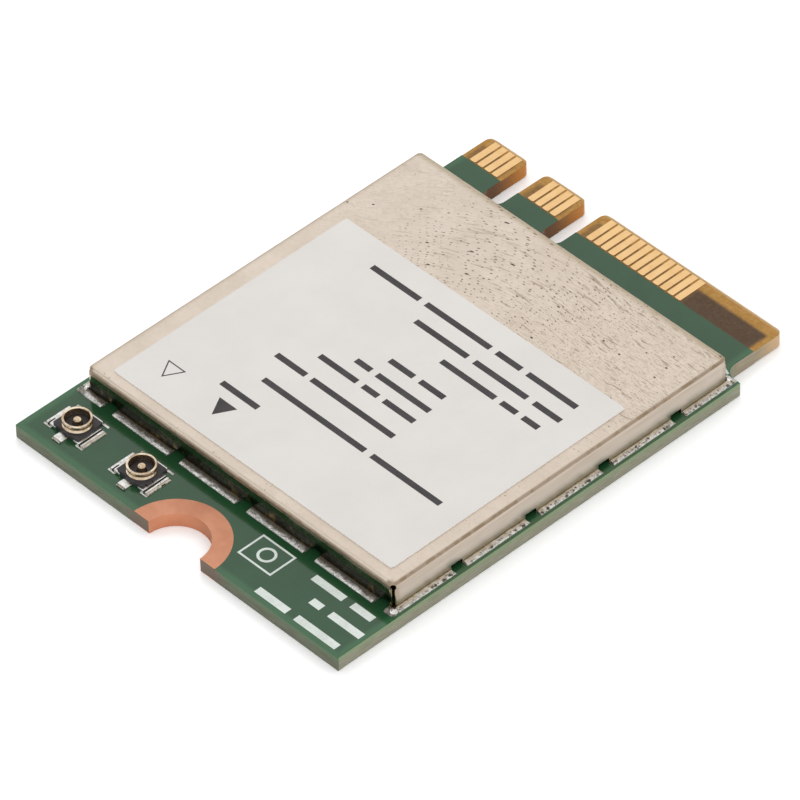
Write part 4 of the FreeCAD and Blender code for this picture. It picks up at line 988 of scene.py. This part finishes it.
LABEL_LOW, LABEL_HIGH, LABEL_ROUND, LABEL_SHRINK = (-9.251, -10.334), (9.651, 4.794), 0.182, 0.45
label = eased_copy("label", "label_sheet", PAPER, LABEL_EASE)
label_corners = [(x, y) for x in (LABEL_LOW[0], LABEL_HIGH[0]) for y in (LABEL_LOW[1], LABEL_HIGH[1])]
reround(label, label_corners, LABEL_ROUND, LABEL_SHRINK)
for vertex in label.data.vertices:
    vertex.co.z = min(vertex.co.z, SHEET_TOP * MM)
seat(label, "label_paper", "label")
TEXT_ROWS = [(-5.86, 7.98, 3.22, (6, 8, 3, 6)), (-1.64, 8.11, 2.04, (6, 6, 3)), (1.22, 7.72, 0.98, (7, 2, 2)),
             (-0.53, 3.14, -0.69, (3, 3)), (-1.66, 3.32, -1.80, (2, 7)), (-3.09, 3.32, -2.80, (5, 2, 4)),
             (-4.59, 3.38, -4.18, (4, 11)), (-3.78, 8.18, -5.77, (12, 8)), (-5.00, -2.51, -7.30, (4,))]
SILK_ROWS = [(5.10, 10.45, -14.50, (3, 4)), (7.40, 10.75, -13.25, (1, 3)), (6.35, 10.30, -12.12, (3, 2))]
WORD_GAP, INK_FILM = 0.8, 0.010
TEXT_WIDTH, OPEN_WIDTH, SILK_WIDTH, FRAME_WIDTH, RING_WIDTH = 0.34, 0.13, 0.42, 0.15, 0.14
OPEN_MARK = [(-7.30, -8.98), (-6.75, -8.04), (-7.85, -8.04)]
SOLID_MARK = [(-3.72, -9.13), (-3.12, -8.06), (-4.32, -8.06)]
FRAME_MARK = box_outline(2.71, -13.45, 4.83, -11.87)
RING_CENTRE, RING_RADIUS, RING_STEPS = (3.77, -12.66), 0.42, 40
SHOULDER_DASH = [(9.66, 11.22), (10.16, 11.03)]


def word_bars(start, end, y, words):
    """Plain bars along a row, one for each word, as long as its share of the row."""
    unit = (end - start) / (sum(words) + WORD_GAP * (len(words) - 1))
    bars = []
    for word in words:
        bars.append(([(start, y), (start + word * unit, y)], False))
        start += (word + WORD_GAP) * unit
    return bars


rows = [bar for row in TEXT_ROWS for bar in word_bars(*row)]
printed("label_rows", rows, SHEET_TOP, TEXT_WIDTH, LABEL_INK, "label_paper")
printed("label_open_mark", [(OPEN_MARK, True)], SHEET_TOP, OPEN_WIDTH, LABEL_INK, "label_paper")
filled = bmesh.new()
slab(filled, SOLID_MARK, SHEET_TOP - INK_FILM / 2, SHEET_TOP + INK_FILM / 2)
seat(settled(filled, "label_solid_mark", LABEL_INK), "label_paper")

silk = [bar for row in SILK_ROWS for bar in word_bars(*row)]
turns = [2 * math.pi * step / RING_STEPS for step in range(RING_STEPS)]
ring_mark = [(RING_CENTRE[0] + RING_RADIUS * math.cos(turn), RING_CENTRE[1] + RING_RADIUS * math.sin(turn))
             for turn in turns]
printed("board_rows", silk, MASK_TOP, SILK_WIDTH, SILK_INK, "solder_mask")
printed("board_frame_mark", [(FRAME_MARK, True)], MASK_TOP, FRAME_WIDTH, SILK_INK, "solder_mask")
printed("board_ring_mark", [(ring_mark, True), (SHOULDER_DASH, False)], MASK_TOP, RING_WIDTH, SILK_INK,
        "solder_mask")


# Solids that keep their shape: the lands, and the parts under the can

PACKAGES = ["radio_chip", "front_end_module_a", "front_end_module_b", "voltage_regulator", "flash_memory"]
KEPT = [(TIN, ["shield_lands", "radio_terminals"]), (PACKAGE, PACKAGES), (CRYSTAL, ["clock_crystal"]),
        (CERAMIC, ["band_filters"]), (FERRITE, ["power_inductors"]), (BROWN_CERAMIC, ["bypass_capacitors"]),
        (GLAZE, ["chip_resistors"])]
for material, solids in KEPT:
    for solid in solids:
        nodes[solid].data.materials.clear()
        nodes[solid].data.materials.append(material)


# Camera

AZIMUTH, ELEVATION, ROLL = (math.radians(a) for a in (47.5843, 43.04, -1.7898))
DISTANCE, ASIDE, ABOVE, LENS, SENSOR = 403.26, -0.4481, -0.2084, 385.42, 36.0
back = Vector((math.sin(AZIMUTH) * math.cos(ELEVATION), -math.cos(AZIMUTH) * math.cos(ELEVATION),
               math.sin(ELEVATION)))
level = Vector((math.cos(AZIMUTH), math.sin(AZIMUTH), 0.0))
upward = back.cross(level)
right = level * math.cos(ROLL) + upward * math.sin(ROLL)
top = upward * math.cos(ROLL) - level * math.sin(ROLL)
camera = bpy.data.objects.new("camera", bpy.data.cameras.new("camera"))
camera.data.lens = LENS
camera.data.sensor_width = SENSOR
turn = Matrix((right, top, back)).transposed().to_4x4()
camera.matrix_world = Matrix.Translation((right * ASIDE + top * ABOVE + back * DISTANCE) * MM) @ turn
scene.collection.objects.link(camera)
scene.camera = camera


# Studio: white floor, even sky, one soft lamp and a dark card to the left of the camera

WHITE = (1.0, 1.0, 1.0, 1.0)
FLOOR_TONE, CARD_TONE = (0.93, 0.93, 0.93, 1.0), (0.03, 0.03, 0.03, 1.0)
FLOOR_HALF, FLOOR_Z, FLOOR_GLOW = 2.0, -0.00002, 0.2
CARD_TOWARDS = Vector((-0.54, -0.50, 0.67)).normalized()
CARD_DISTANCE, CARD_HALF, CARD_RISE = 0.095, 0.036, 0.017
SKY_LIGHT, SKY_SEEN = 0.95, 1.0
LAMP_PLACE, LAMP_SIZE, LAMP_POWER = Vector((-0.16, 0.13, 0.26)), 0.16, 0.2


def stage_plane(name, middle, across, rise, material):
    """A flat stage piece, from its middle and half its sides."""
    corners = [middle + across * a + rise * b for a, b in ((-1, -1), (1, -1), (1, 1), (-1, 1))]
    mesh = bpy.data.meshes.new(name)
    mesh.from_pydata([tuple(corner) for corner in corners], [], [(0, 1, 2, 3)])
    made = show(mesh, name, material)
    return made


def seen_rays(w):
    """1 for the rays of the camera and of mirrored or clear surfaces."""
    rays = w.node("ShaderNodeLightPath").outputs
    return w.either(rays["Is Camera Ray"], rays["Is Glossy Ray"], rays["Is Transmission Ray"])


def floor_finish():
    """Matt white that looks a little brighter than it lights."""
    w = Finish("white_floor", Base_Color=FLOOR_TONE, Roughness=1.0, Specular_IOR_Level=0.0)
    glow = w.node("ShaderNodeEmission", WHITE)
    w.feed(glow.inputs["Strength"], w.both(seen_rays(w), FLOOR_GLOW))
    both = w.node("ShaderNodeAddShader", w.shader.outputs[0], glow.outputs[0])
    w.feed(w.tree.nodes["Material Output"].inputs["Surface"], both.outputs[0])
    return w.material


stage_plane("floor", Vector((0, 0, FLOOR_Z)), Vector((FLOOR_HALF, 0, 0)), Vector((0, FLOOR_HALF, 0)),
            floor_finish())
card_finish = Finish("dark_card", Base_Color=CARD_TONE, Roughness=1.0).material
card_across = Vector((0, 0, 1)).cross(CARD_TOWARDS).normalized()
card_rise = CARD_TOWARDS.cross(card_across)
card = stage_plane("dark_card", CARD_TOWARDS * CARD_DISTANCE, card_across * CARD_HALF, card_rise * CARD_RISE,
                   card_finish)
card.visible_camera = card.visible_shadow = card.visible_diffuse = False

world = bpy.data.worlds.new("studio")
scene.world = world
world.use_nodes = True
sky = Wiring(world.node_tree)
background = world.node_tree.nodes["Background"]
background.inputs["Color"].default_value = WHITE
sky.feed(background.inputs["Strength"], sky.blend(seen_rays(sky), SKY_LIGHT, SKY_SEEN))

lamp = bpy.data.lights.new("soft_lamp", "AREA")
lamp.shape = "SQUARE"
lamp.size = LAMP_SIZE
lamp.energy = LAMP_POWER
lamp_object = bpy.data.objects.new("soft_lamp", lamp)
lamp_object.location = LAMP_PLACE
lamp_object.rotation_euler = LAMP_PLACE.to_track_quat("Z", "Y").to_euler()
lamp_object.visible_glossy = False
scene.collection.objects.link(lamp_object)

scene.view_settings.view_transform = "Standard"
